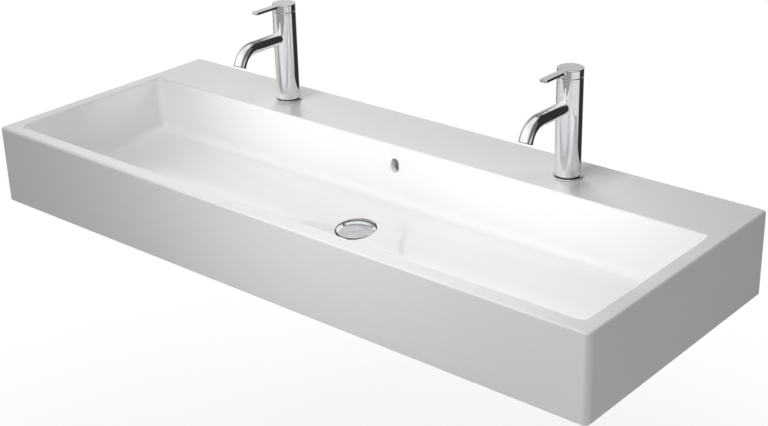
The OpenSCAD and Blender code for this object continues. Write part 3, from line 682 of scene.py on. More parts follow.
@dataclass
class Basin:
    """The ceramic: apron, rim, bowl, deck, drain recess, boss and overflow passage.

    A size that ends in _r is a radius, in _t a thickness and in _z a height in the frame. A
    depth or drop is measured down from the rim. The counts of steps are flats along a stretch.
    """

    palette: Palette
    width: float = 1200
    depth: float = 470
    apron_z: float = -60
    rim_z: float = 75
    corner_r: float = 9
    rim_edge_r: float = 4
    foot_r: float = 2.5
    skirt: float = 12
    side_rim: float = 26.5
    front_rim: float = 27
    deck_depth: float = 128
    deck_t: float = 14
    deck_edge: float = 3
    hollow_edge: float = 6
    hollow_corner_r: float = 8
    bowl_wall: float = 11
    bowl_corner_r: float = 11
    least_corner_r: float = 2
    lip_r: float = 3.5
    draft: float = 3
    fillet: float = 14
    back_depth: float = 97
    end_depth: float = 104
    front_depth: float = 101
    floor_t: float = 11
    floor_rows: int = 16
    floor_curve: float = 1.3
    drain_y: float = -229
    recess_r: float = 34.4
    recess_edge: float = 2
    recess_depth: float = 112
    recess_slope: float = 0.13
    seat_depth: float = 128.8
    seat_edge: float = 1
    drain_hole_r: float = 23
    hole_flats: int = 128
    boss_r: float = 44
    boss_room: float = 8
    boss_tuck: float = 4
    chamber_roof: float = 8.7
    chamber_h: float = 10.5
    chamber_floor: float = 8
    overflow_w: float = 17
    overflow_h: float = 24
    overflow_square: float = 0.9
    overflow_drop: float = 36
    overflow_lip: float = 1.9
    overflow_proud: float = 0.02
    overflow_reach: Pair = (4, 3)
    passage_w: float = 28
    passage_d: float = 12
    passage_t: float = 8
    passage_head: float = 3
    bolt_r: float = 10
    bolt_x: tuple[float, ...] = (-520, -140, 140, 520)
    tap_x: Pair = (-297, 297)
    tap_y: float = -67
    tap_r: float = 17.5
    corner_steps: int = 30
    long_steps: int = 30
    short_steps: int = 20
    sharp: float = 40

    @property
    def count(self) -> int:
        """Points in one loop."""
        return 4 * self.corner_steps + 2 * self.long_steps + 2 * self.short_steps

    @property
    def bowl_x(self) -> float:
        """Half width of the bowl at the rim."""
        return self.width / 2 - self.side_rim

    @property
    def bowl_y(self) -> Pair:
        """Front and back of the bowl at the rim."""
        return self.front_rim - self.depth, -self.deck_depth

    def rounded(self, x: Pair, y: Pair, r: float, z: float) -> Loop:
        """Rounded rectangle as one loop, anticlockwise from above.

        Args:
            x: Left and right side.
            y: Front and back side.
            r: Radius of the corners.
            z: Height.

        Returns:
            The loop.
        """
        middles = [
            (x[1] - r, y[1] - r), (x[0] + r, y[1] - r), (x[0] + r, y[0] + r), (x[1] - r, y[0] + r)
        ]
        loop: Loop = []
        for c, (mx, my) in enumerate(middles):
            nx, ny = middles[(c + 1) % 4]
            for i in range(self.corner_steps + 1):
                a = math.pi / 2 * (c + i / self.corner_steps)
                loop.append((mx + r * math.cos(a), my + r * math.sin(a), z))
            end = math.pi / 2 * (c + 1)
            wx, wy = round(math.cos(end)), round(math.sin(end))
            steps = self.long_steps if c % 2 == 0 else self.short_steps
            for k in range(1, steps):
                t = k / steps
                loop.append((mx + (nx - mx) * t + r * wx, my + (ny - my) * t + r * wy, z))
        return loop

    def ring(self, r: float, z: float, slope: float = 0) -> Loop:
        """Circle round the drain, its points facing those of the rectangles.

        Args:
            r: Radius.
            z: Height at the middle.
            slope: Rise towards the back, for each millimetre.

        Returns:
            The loop.
        """
        middle = self.corner_steps + self.long_steps / 2
        loop: Loop = []
        for i in range(self.count):
            a = math.pi / 2 + 2 * math.pi * (i - middle) / self.count
            x, y, rise = r * math.cos(a), r * math.sin(a), slope * r * math.sin(a)
            loop.append((x, self.drain_y + y, z + rise))
        return loop

    def apron_loop(self, inset: float, z: float) -> Loop:
        """Outline of the apron, drawn in by an inset."""
        half = self.width / 2 - inset
        return self.rounded((-half, half), (-self.depth + inset, -inset), self.corner_r - inset, z)

    def bowl_loop(self, inset: float, z: float) -> Loop:
        """Outline of the bowl, drawn in by an inset.

        Args:
            inset: How far it is drawn in.
            z: Height.

        Returns:
            The loop.
        """
        half, (front, back) = self.bowl_x - inset, self.bowl_y
        r = max(self.bowl_corner_r - inset / 2, self.least_corner_r)
        return self.rounded((-half, half), (front + inset, back - inset), r, z)

    def under_loop(self, front: float, inset: float, z: float) -> Loop:
        """Outline of a hollow under the basin, drawn in by an inset."""
        half, back = self.width / 2 - self.skirt - inset, -self.skirt - inset
        return self.rounded((-half, half), (front + inset, back), self.hollow_corner_r, z)

    def foot_z(self, y: float) -> float:
        """Height of the foot of the bowl walls: it falls to a line level with the drain.

        Args:
            y: Place from front to back.

        Returns:
            The height.
        """
        front, back = self.bowl_y
        low = self.rim_z - self.end_depth
        if y > self.drain_y:
            start, share = self.rim_z - self.back_depth, (back - y) / (back - self.drain_y)
            return start + (low - start) * min(share, 1)
        start, share = self.rim_z - self.front_depth, (y - front) / (self.drain_y - front)
        return start + (low - start) * max(share, 0)

    def foot_loop(self, inset: float, rise: float) -> Loop:
        """The bowl outline laid on the falling foot of the walls."""
        return [(x, y, self.foot_z(y) + rise) for x, y, _ in self.bowl_loop(self.draft + inset, 0)]

    @staticmethod
    def between(a: Loop, b: Loop, share: float, rise: float) -> Loop:
        """Loop part of the way from one to another, with its own share of the rise."""
        shares = (share, share, rise)
        return [tuple(u + (v - u) * s for u, v, s in zip(p, q, shares)) for p, q in zip(a, b)]

    def apron_block(self) -> Piece:
        """Shape the outer block with its rounded foot and rim.

        Returns:
            The block.
        """
        low, high, edge = self.apron_z, self.rim_z, self.rim_edge_r
        loops = [self.apron_loop(left, low + gone) for left, gone in quarter(self.foot_r, 6)]
        loops += [self.apron_loop(gone, high - left) for left, gone in quarter(edge, 10)]
        return Shapes.loft("basin_ceramic", loops)

    def bowl_hollow(self) -> Piece:
        """Shape the hollow of the bowl, from the seat of the waste to above the rim.

        Returns:
            The cutting tool.
        """
        top = self.rim_z
        seat_z, recess_z = top - self.seat_depth, top - self.recess_depth
        loops = [self.ring(self.recess_r - self.seat_edge, seat_z)]
        loops.append(self.ring(self.recess_r, seat_z + self.seat_edge))
        for left, gone in quarter(self.recess_edge, 5):
            loops.append(self.ring(self.recess_r + gone, recess_z - left, self.recess_slope))
        inner, outer = loops[-1], self.foot_loop(self.fillet, 0)
        for k in range(1, self.floor_rows):
            t = k / self.floor_rows
            loops.append(self.between(inner, outer, t, 1 - (1 - t) ** self.floor_curve))
        loops += [self.foot_loop(left, gone) for left, gone in quarter(self.fillet, 14)]
        loops += [self.bowl_loop(-gone, top - left) for left, gone in quarter(self.lip_r, 10)]
        loops.append(self.bowl_loop(-self.lip_r, top + 2 * OVER))
        return Shapes.loft("bowl_hollow", loops)

    def under_hollow(self) -> Piece:
        """Shape the open underside, whose roof dips with the floor towards the drain.

        Returns:
            The cutting tool.
        """
        front, edge_h = self.skirt - self.depth, self.hollow_edge
        edge_z = self.rim_z - max(self.back_depth, self.end_depth, self.front_depth) - self.floor_t
        drop = self.recess_depth + self.recess_slope * self.recess_r + self.floor_t
        edge = self.under_loop(front, edge_h, edge_z)
        inner = self.ring(self.boss_r + self.boss_room, self.rim_z - drop)
        foot, wall = (self.under_loop(front, 0, z) for z in (self.apron_z - OVER, edge_z - edge_h))
        middle = self.between(edge, inner, share=0.5, rise=0.5)
        return Shapes.loft("under_hollow", [foot, wall, edge, middle, inner])

    def deck_hollow(self) -> Piece:
        """Shape the open space behind the bowl, under the deck.

        Returns:
            The cutting tool.
        """
        half, back, edge = self.width / 2 - self.skirt, -self.skirt, self.deck_edge
        front, top = self.bowl_wall - self.deck_depth, self.rim_z - self.deck_t
        foot, wall = (self.under_loop(front, 0, z) for z in (self.apron_z - OVER, top - edge))
        x, y = (-half + edge, half - edge), (front + edge, back - edge)
        roof = self.rounded(x, y, self.hollow_corner_r - edge, top)
        return Shapes.loft("deck_hollow", [foot, wall, roof])

    def overflow_cutter(self) -> Piece:
        """Shape an upright oval through the back wall, with a lip that rounds into the glaze.

        Returns:
            The cutting tool.
        """
        lean = math.atan2(self.draft, self.back_depth - self.lip_r - self.fillet)
        wall_y = -self.deck_depth - (self.overflow_drop - self.lip_r) * math.tan(lean)
        middle = Vector((0, wall_y, self.rim_z - self.overflow_drop))
        out = Vector((0, -math.cos(lean), math.sin(lean)))
        up = Vector((0, math.sin(lean), math.cos(lean)))
        (behind, before), lip, proud = self.overflow_reach, self.overflow_lip, self.overflow_proud
        stations = [(-self.bowl_wall - behind, 0.0)]
        stations += [(proud - left, gone) for left, gone in quarter(lip, 6)] + [(before, lip)]
        square = self.overflow_square
        oval = [tuple(math.copysign(abs(v) ** square, v) for v in way) for way in turn(PLAIN)]
        loops: list[Loop] = []
        for depth, more in stations:
            half, rise = self.overflow_w / 2 + more, self.overflow_h / 2 + more
            at = middle + out * depth
            loops.append([tuple(at + Vector((half * x, 0, 0)) + up * (rise * z)) for x, z in oval])
        return Shapes.loft("overflow_cutter", loops)

    def drain_rod(self, name: str, low: float, high: float, r: float, flats: int = ROUND) -> Piece:
        """An upright rod on the axis of the drain."""
        return Shapes.rod(name, (0, self.drain_y, low), (0, self.drain_y, high), r, flats)

    def build(self) -> None:
        """Build the ceramic and let it stand for its node."""
        seat_z = self.rim_z - self.seat_depth
        chamber_top = seat_z - self.chamber_roof
        chamber_low = chamber_top - self.chamber_h
        boss_z = chamber_low - self.chamber_floor
        recess_low = self.rim_z - self.recess_depth - self.recess_slope * self.recess_r
        pocket = self.bowl_wall - self.deck_depth
        back = pocket + self.passage_d
        top = self.rim_z - self.overflow_drop + self.overflow_h / 2 + self.passage_head
        t, half, y = self.passage_t, self.passage_w / 2, self.drain_y
        wall, deck_z = half + t, self.rim_z - self.deck_t
        piece = self.apron_block()
        Shapes.carve(piece, self.under_hollow(), self.deck_hollow())
        duct = Shapes.block("duct", (-wall, -self.deck_depth, boss_z), (wall, back + t, top + t))
        run = Shapes.block("run", (-wall, y, boss_z), (wall, back + t, chamber_top + t))
        boss = self.drain_rod("boss", boss_z, recess_low - self.boss_tuck, self.boss_r)
        Shapes.carve(piece, duct, run, boss, how=Carving.JOIN)
        drain_ends = (boss_z - OVER, seat_z + OVER)
        tools = [
            self.bowl_hollow(),
            Shapes.block("shaft", (-half, pocket - 2 * OVER, chamber_low), (half, back, top)),
            Shapes.block("way", (-half, y, chamber_low), (half, back, chamber_top)),
            self.drain_rod("chamber", chamber_low, chamber_top, self.boss_r - t),
            self.overflow_cutter(),
            self.drain_rod("drain", *drain_ends, self.drain_hole_r, self.hole_flats),
        ]
        for x in self.tap_x:
            ends = (x, self.tap_y, deck_z - OVER), (x, self.tap_y, self.rim_z + OVER)
            tools.append(Shapes.rod("tap_hole", *ends, self.tap_r))
        for x in self.bolt_x:
            ends = (x, OVER, 0), (x, -self.skirt - OVER, 0)
            tools.append(Shapes.rod("bolt_hole", *ends, self.bolt_r))
        Shapes.carve(piece, *tools)
        self.palette.finish(piece, Slot.GLAZE, "fixed", "basin", angle=self.sharp)


@dataclass
class Mixer:
    """One single-lever mixer; heights are above the deck, the body's axis is upright.

    A pair of edges is the rounding of a piece's lower and of its upper edge. A lap is how far
    a piece reaches into its neighbour.
    """

    palette: Palette
    bar: SweptBar
    side: Side
    x: float = 297
    y: float = -67
    deck_z: float = 75
    body_r: float = 20.5
    bore_r: float = 18
    body_edges: Pair = (0.5, 0.35)
    bore_edge: float = 0.3
    ring_r: float = 23.5
    ring_edges: Pair = (0.25, 0.7)
    ring_low: float = 0.6
    ring_top: float = 2.6
    ring_lap: float = 0.5
    groove_r: float = 18.9
    # band_in, band_out and band_lap size the black bands that paint shade in the groove and the
    # cap's seam
    band_in: float = 0.4
    band_out: float = 0.15
    band_lap: float = 0.3
    body_low: float = 4.8
    body_top: float = 162.4
    cap_low: float = 163.6
    top: float = 176
    cap_edges: Pair = (0.3, 0.5)
    cap_wall: float = 3.1
    cap_roof: float = 5.5
    roof_edge: float = 2
    tilt_z: float = 155.4
    relief_start: float = 6.3
    relief_low: float = 5
    tilt_max: float = 15
    boss_r: float = 7.8
    boss_rise: float = 9.1
    boss_tuck: float = 2
    stem_half: Pair = (3.8, 3.5)
    stem_top: float = 172.4
    spout_r: float = 11
    spout_bore: float = 8.5
    spout_z: float = 116
    spout_start: float = 3
    spout_stops: Pair = (30, 50)
    spout_run: float = 81
    spout_flats: int = 128
    bend_r: float = 33
    bend: float = 66
    bend_steps: int = 32
    end: float = 6.5
    end_edge: float = 0.3
    aerator_r: float = 9.65
    aerator_depth: float = 8.7
    # lip, lip_in and lip_out size the black ring that paints the shadow gap at the mouth
    lip: Pair = (9.8, 10.95)
    lip_in: float = 0.2
    lip_out: float = 1.1
    # seam, seam_out and seam_inset place the black strips that paint the shade of the seam and
    # lever gaps
    seam: Pair = (1.3, 0.8)
    seam_out: float = 0.03
    seam_inset: float = 0.6
    lever_gap: float = 0.4
    lever_w: float = 13
    lever_t: float = 4.2
    lever_edge: float = 0.3
    lever_reach: float = 73
    lever_root: float = 9.9
    tip_r: float = 2
    undercut: float = 20
    undercut_reach: Pair = (4, 10)
    undercut_low: float = 6
    undercut_over: float = 3
    screw_r: float = 2.05
    screw_flats: int = 48
    screw_below: float = 7.6

    @property
    def foot(self) -> Point:
        """Foot of the axis on the deck."""
        return self.side.value * self.x, self.y, self.deck_z

    @property
    def handle(self) -> str:
        """Body that the cap and the lever move with."""
        return self.name("handle")

    def at(self, x: float, y: float, z: float) -> Point:
        """A point given from the foot of the axis, in the frame of the part."""
        return self.foot[0] + x, self.foot[1] + y, self.foot[2] + z

    def name(self, part: str) -> str:
        """Name of a part of this mixer."""
        return f"{self.side.word}_{part}"

    def across(self, name: str, outline: list[Pair], half: float, z: float) -> Piece:
        """A bar along X from a section given by depth, and by height above a level."""
        ends = (-half, half)
        return Shapes.loft(name, [[self.at(x, y, z + rise) for y, rise in outline] for x in ends])

    def build_body(self) -> None:
        """The body tube with its shadow groove."""
        low, high, bore, edge = self.body_low, self.body_top, self.bore_r, self.bore_edge
        profile = [(bore, self.ring_top), (self.groove_r, self.ring_top), (self.groove_r, low)]
        profile += low_edge(self.body_r, low, self.body_edges[0], 5)
        profile += top_edge(self.body_r, high, self.body_edges[1], 4)
        profile += [(bore + edge, high), (bore, high - edge)]
        piece = Shapes.lathe(self.name("body_tube"), profile, self.foot, FINE)
        self.palette.finish(piece, Slot.CHROME, "fixed", self.name("body"))

    def build_base_ring(self) -> None:
        """The ring at the foot, its edges rounded."""
        inner, low, high = self.bore_r - self.ring_lap, self.ring_low, self.ring_top
        profile = [(inner, low)] + low_edge(self.ring_r, low, self.ring_edges[0], 3)
        profile += top_edge(self.ring_r, high, self.ring_edges[1], 6) + [(inner, high)]
        piece = Shapes.lathe(self.name("foot_ring"), profile, self.foot, FINE)
        self.palette.finish(piece, Slot.CHROME, "fixed", self.name("base_ring"))

    def build_groove_shade(self) -> None:
        """Black rubber band that paints the shade at the back of the shadow groove."""
        low, high = self.ring_top - self.band_lap, self.body_low + self.band_lap
        inner, outer = self.groove_r - self.band_in, self.groove_r + self.band_out
        section = band(inner, outer, low, high)
        # painted shade: the groove holds only shadow, and this black band paints it
        piece = Shapes.lathe(self.name("groove_painted_shade"), section, self.foot)
        self.palette.finish(piece, Slot.RUBBER, "fixed")

    def spout_path(self) -> list[Point]:
        """Lay the middle line of the spout, from inside the body to the mouth.

        Returns:
            Points along it.
        """
        stops = (self.bore_r - self.spout_start, *self.spout_stops, self.spout_run)
        points = [self.at(0, -y, self.spout_z) for y in stops]
        for k in range(1, self.bend_steps + 1):
            a = math.radians(self.bend * k / self.bend_steps)
            y, fall = self.spout_run + self.bend_r * math.sin(a), self.bend_r * (1 - math.cos(a))
            points.append(self.at(0, -y, self.spout_z - fall))
        a = math.radians(self.bend)
        way = Vector((0, -math.cos(a), -math.sin(a)))
        points.append(tuple(Vector(points[-1]) + way * self.end))
        return points

    def build_spout(self) -> None:
        """The bent tube, bored at its mouth for the aerator."""
        chrome, path = self.palette.of_slot[Slot.CHROME], self.spout_path()
        sizes = (self.spout_r, self.spout_bore, self.spout_flats)
        piece = self.bar.sweep(self.name("spout_tube"), path, *sizes, chrome)
        self.open_mouth(piece, path)
        self.palette.finish(piece, Slot.CHROME, "fixed", self.name("spout"))

    def open_mouth(self, piece: Piece, path: list[Point]) -> None:
        """Close the tube's ends into rings and bore the mouth for the aerator.

        Args:
            piece: The swept tube: an outer and an inner skin, each with flat ends.
            path: Its middle line.
        """
        cage = bmesh.new()
        cage.from_mesh(piece.data)
        caps = [f for f in cage.faces if len(f.verts) > 4]
        bmesh.ops.delete(cage, geom=caps, context="FACES_ONLY")
        rims = [e for e in cage.edges if e.is_boundary]
        for end in (Vector(path[0]) * MM, Vector(path[-1]) * MM):
            reach = 2 * self.spout_r * MM
            near = [e for e in rims if (e.verts[0].co - end).length < reach]
            bmesh.ops.bridge_loops(cage, edges=near)
        bmesh.ops.recalc_face_normals(cage, faces=cage.faces)
        cage.to_mesh(piece.data)
        cage.free()
        mouth = Vector(path[-1])
        way = (mouth - Vector(path[-2])).normalized()
        ends = tuple(mouth - way * self.aerator_depth), tuple(mouth + way * OVER)
        seat = Shapes.rod("aerator_seat", *ends, self.aerator_r, self.spout_flats)
        Shapes.carve(piece, seat)
        Shapes.soften(piece, self.end_edge, 50)

    def build_mouth_painted_shade(self) -> None:
        """Black ring round the mouth of the spout that paints the shadow gap of the inset aerator.
        """
        before, mouth = (Vector(p) for p in self.spout_path()[-2:])
        way, across = (mouth - before).normalized(), Vector((1, 0, 0))
        up, (low, high) = across.cross(way), self.lip
        loops: list[Loop] = []
        for r, out in band(low, high, -self.lip_in, self.lip_out):
            middle = mouth + way * out
            loops.append([tuple(middle + (across * c + up * s) * r) for c, s in turn(PLAIN)])
        # painted shade: a black ring for the shadow gap round the aerator
        piece = Shapes.loft(self.name("mouth_painted_shade"), loops, ring=True)
        self.palette.finish(piece, Slot.RUBBER, "fixed")

    def build_cap(self) -> None:
        """The turning cap: hollow, sloped off at the back, with a channel for the lever."""
        r, low, high = self.body_r, self.cap_low, self.top
        inner, roof = r - self.cap_wall, high - self.cap_roof
        profile = [(0.0, high)] + top_edge(r, high, self.cap_edges[1], 6)[::-1]
        profile += low_edge(r, low, self.cap_edges[0], 4)[::-1]
        edge = self.roof_edge
        profile += [(inner, low), (inner, roof - edge), (inner - edge, roof), (0.0, roof)]
        piece = Shapes.lathe(self.name("cap_shell"), profile, self.foot, FINE)
        tilt, start, depth = math.radians(self.tilt_max), self.relief_start, 2 * r
        outline = [(start, 0.0), (start + depth * math.cos(tilt), depth * math.sin(tilt))]
        outline += [(start + depth, -self.relief_low), (start, -self.relief_low)]
        Shapes.carve(piece, self.across("relief", outline, r + OVER, low))
        boss_low, boss_high = self.tilt_z + self.boss_rise, high - self.boss_tuck
        boss = Shapes.rod("boss", self.at(0, 0, boss_low), self.at(0, 0, boss_high), self.boss_r)
        Shapes.carve(piece, boss, how=Carving.JOIN)
        half_x, half_y = self.stem_half
        half, screw_z = self.lever_w / 2 + self.lever_gap, high - self.screw_below
        ends = self.at(-half_x, -half_y, self.tilt_z), self.at(half_x, half_y, self.stem_top)
        socket = Shapes.block("socket", *ends)
        front = self.at(-half, -r - OVER, high - self.lever_t)
        back = self.at(half, -self.lever_root, high + OVER)
        channel = Shapes.block("channel", front, back)
        ends = self.at(0, -half_y + OVER, screw_z), self.at(0, -r - OVER, screw_z)
        screw_hole = Shapes.rod("screw_hole", *ends, self.screw_r, self.screw_flats)
        Shapes.carve(piece, socket, channel, screw_hole)
        self.palette.finish(piece, Slot.CHROME, self.handle, self.name("cap"))

    def build_seam_shades(self) -> None:
        """Black strips that paint the shade in the seam under the cap's upper edge and in the gaps
        along both sides of the lever's root.
        """
        r, half = self.body_r, self.lever_w / 2
        low, high = self.top - self.seam[0], self.top - self.seam[1]
        section = band(r - self.band_in, r + self.seam_out, low, high)
        # painted shade: black bands fill the seam and the lever's gaps, where only shadow falls
        pieces = [Shapes.lathe(self.name("cap_seam_shade"), section, self.foot)]
        for word, side in (("inner", -1), ("outer", 1)):
            near, far = sorted((side * half, side * (half + self.lever_gap)))
            front = self.at(near, -r + self.seam_inset, self.top - self.lever_t)
            back = self.at(far, -self.lever_root, self.top - self.lever_gap)
            pieces.append(Shapes.block(self.name(f"lever_seam_{word}"), front, back))
        for piece in pieces:
            self.palette.finish(piece, Slot.RUBBER, self.handle)

    def build_lever(self) -> None:
        """The flat lever with its rounded tip, drawn in underneath."""
        half, tip, r, root = self.lever_w / 2, -self.lever_reach, self.tip_r, -self.lever_root
        outline = [(half, root), (-half, root)]
        outline += arc((-half + r, tip + r), r, 180, 270, 8)
        outline += arc((half - r, tip + r), r, 270, 360, 8)
        low, high = self.top - self.lever_t, self.top
        loops = [[self.at(x, y, z) for x, y in outline] for z in (low, high)]
        piece = Shapes.loft(self.name("lever_blade"), loops)
        slope, (near, far) = math.radians(self.undercut), self.undercut_reach
        under = [(tip + near * math.cos(slope), -near * math.sin(slope))]
        under += [(tip - far * math.cos(slope), far * math.sin(slope))]
        under += [(tip - far, -self.undercut_low), (tip + near, -self.undercut_low)]
        Shapes.carve(piece, self.across("undercut", under, half + self.undercut_over, low))
        Shapes.soften(piece, self.lever_edge, 25)
        self.palette.finish(piece, Slot.CHROME, self.handle, self.name("lever"))

    def build(self) -> None:
        """Build every shown piece of the mixer."""
        self.build_body()
        self.build_base_ring()
        self.build_groove_shade()
        self.build_spout()
        self.build_mouth_painted_shade()
        self.build_cap()
        self.build_seam_shades()
        self.build_lever()


@dataclass
class PushCap:
    """The dished chrome cap over the drain, its spring, and the ring that lines the recess."""

    palette: Palette
    y: float = -229
    r: float = 32.4
    under_z: float = -43.7
    top_z: float = -39.1
    floor_z: float = -41.5
    floor_r: float = 27.2
    floor_rise: float = 0.1
    floor_rings: int = 8
    face_in: float = 0.4
    face_t: float = 0.15
    rim_w: float = 1.0
    rim_edge: float = 0.5
    rim_foot: Pair = (0.6, 0.15)
    skin: float = 1.3
    skirt_w: float = 5
    boss_r: float = 7.8
    boss_h: float = 1.5
    wire: float = 1.0
    lower_coil: Point = (5.6, -58.3, -52.2)
    upper_coil: Point = (7.2, -51.2, -45.9)
    coil_turns: float = 2.5
    coil_steps: int = 24
    stem_r: float = 4.05
    # band_z and the band sizes place the black band under the rim: the seal and its painted gap
    # shadow
    band_z: float = -40.4
    band_in: float = 0.4
    band_out: float = 0.05
    band_rise: float = 0.2
    lining: Pair = (33.8, 34.35)
    lining_low: float = -47.5
    recess_z: float = -37
    recess_edge: float = 1.7
    recess_slope: float = 0.13

    @property
    def foot(self) -> Point:
        """Middle of the drain, at the height of the wall bolts."""
        return 0, self.y, 0

    def crown(self, r: float, z: float) -> list[Pair]:
        """A slightly domed floor, from its first ring out to its edge."""
        shares = [t / self.floor_rings for t in range(1, self.floor_rings + 1)]
        return [(t * r, z + self.floor_rise * (1 - t ** 2)) for t in shares]

    def build_disc(self) -> None:
        """The disc: a flat floor, a slope up to its rim, and a hollow underside."""
        floor, under, top, r, edge = self.floor_z, self.under_z, self.top_z, self.r, self.rim_edge
        rim, wall, inner = r - self.rim_w, r - self.band_in, r - self.skirt_w
        roof, foot, (slope_in, slope_down) = floor - self.skin, under - self.boss_h, self.rim_foot
        profile = [(0.0, floor + self.floor_rise)] + self.crown(self.floor_r, floor)
        profile += [(rim - slope_in, top - slope_down), (rim, top)]
        profile += top_edge(r, top, edge, 6)[::-1]
        profile += [(r, self.band_z), (wall, self.band_z), (wall, under), (inner, under)]
        profile += [(inner, roof), (self.boss_r, roof), (self.boss_r, foot), (self.stem_r, foot)]
        profile += [(self.stem_r, under), (0.0, under)]
        piece = Shapes.lathe("push_cap_disc", profile, self.foot, FINE)
        self.palette.finish(piece, Slot.CHROME, "push_waste", "push_cap", angle=20)

    def build_face(self) -> None:
        """The satin face on the floor of the dish."""
        rise, r = self.floor_rise, self.floor_r - self.face_in
        low, high = self.floor_z - rise, self.floor_z + self.face_t
        profile = [(0.0, low), (r, low), (r, high - rise), (r - rise, high)]
        profile += self.crown(r, high)[-2::-1] + [(0.0, high + rise)]
        piece = Shapes.lathe("push_cap_face", profile, self.foot)
        self.palette.finish(piece, Slot.STEEL, "push_waste")

    def build_edge_shade(self) -> None:
        """Black rubber band under the rim of the disc: its seal, and painted shadow of the gap
        below the cap's edge.
        """
        low, high = self.under_z + self.band_rise, self.band_z
        section = band(self.r - self.band_in, self.r - self.band_out, low, high)
        # partly painted shadow: the black band darkens the gap under the cap's edge as well as
        # standing for its seal
        piece = Shapes.lathe("push_cap_edge_shade", section, self.foot)
        self.palette.finish(piece, Slot.RUBBER, "push_waste")

    def build_spring(self) -> None:
        """The spring, in a coil on the guide and a wider one under the cap that slides over it."""
        coils = (
            ("lower", self.lower_coil, "fixed", ("push_spring",)),
            ("upper", self.upper_coil, "push_waste", ()),
        )
        steps = round(self.coil_steps * self.coil_turns)
        for word, (radius, low, high), body, nodes in coils:
            loops: list[Loop] = []
            for k in range(steps + 1):
                a, z = 2 * math.pi * self.coil_turns * k / steps, low + (high - low) * k / steps
                c, s, wire = math.cos(a), math.sin(a), arc((radius, z), self.wire / 2, 0, 315, 7)
                loops.append([(r * c, self.y + r * s, rise) for r, rise in wire])
            piece = Shapes.loft(f"push_spring_{word}", loops)
            self.palette.finish(piece, Slot.STEEL, body, *nodes, angle=50)

    def build_lining(self) -> None:
        """The satin ring that lines the recess up to the rounding of its slanting edge."""
        inner, outer = self.lining
        edge_z = self.recess_z - self.recess_edge
        loops: list[Loop] = []
        for r, top in ((outer, False), (outer, True), (inner, True), (inner, False)):
            slope, z = (self.recess_slope, edge_z) if top else (0, self.lining_low)
            loops.append([(r * c, self.y + r * s, z + slope * r * s) for c, s in turn(FINE)])
        piece = Shapes.loft("drain_lining", loops, ring=True)
        self.palette.finish(piece, Slot.STEEL, "fixed")

    def build(self) -> None:
        """Build every shown piece of the waste, and its spring."""
        self.build_disc()
        self.build_face()
        self.build_edge_shade()
        self.build_spring()
        self.build_lining()


@dataclass(frozen=True)
class Lamp:
    """A soft rectangular lamp, hidden from the camera and from reflections.

    Attributes:
        name: Its name.
        at: Its middle, in metres.
        towards: The point that it faces, in metres.
        size: Width and height, in metres.
        power: Watts.
    """

    name: str
    at: Point
    towards: Point
    size: Pair
    power: float

    def build(self) -> None:
        """Hang the lamp."""
        data = bpy.data.lights.new(self.name, "AREA")
        data.shape, data.energy = "RECTANGLE", self.power
        data.size, data.size_y = self.size
        lamp = bpy.data.objects.new(self.name, data)
        lamp.visible_camera = lamp.visible_glossy = False
        lamp.location = self.at
        way = Vector(self.towards) - Vector(self.at)
        lamp.rotation_euler = way.to_track_quat("-Z", "Y").to_euler()
        bpy.context.scene.collection.objects.link(lamp)


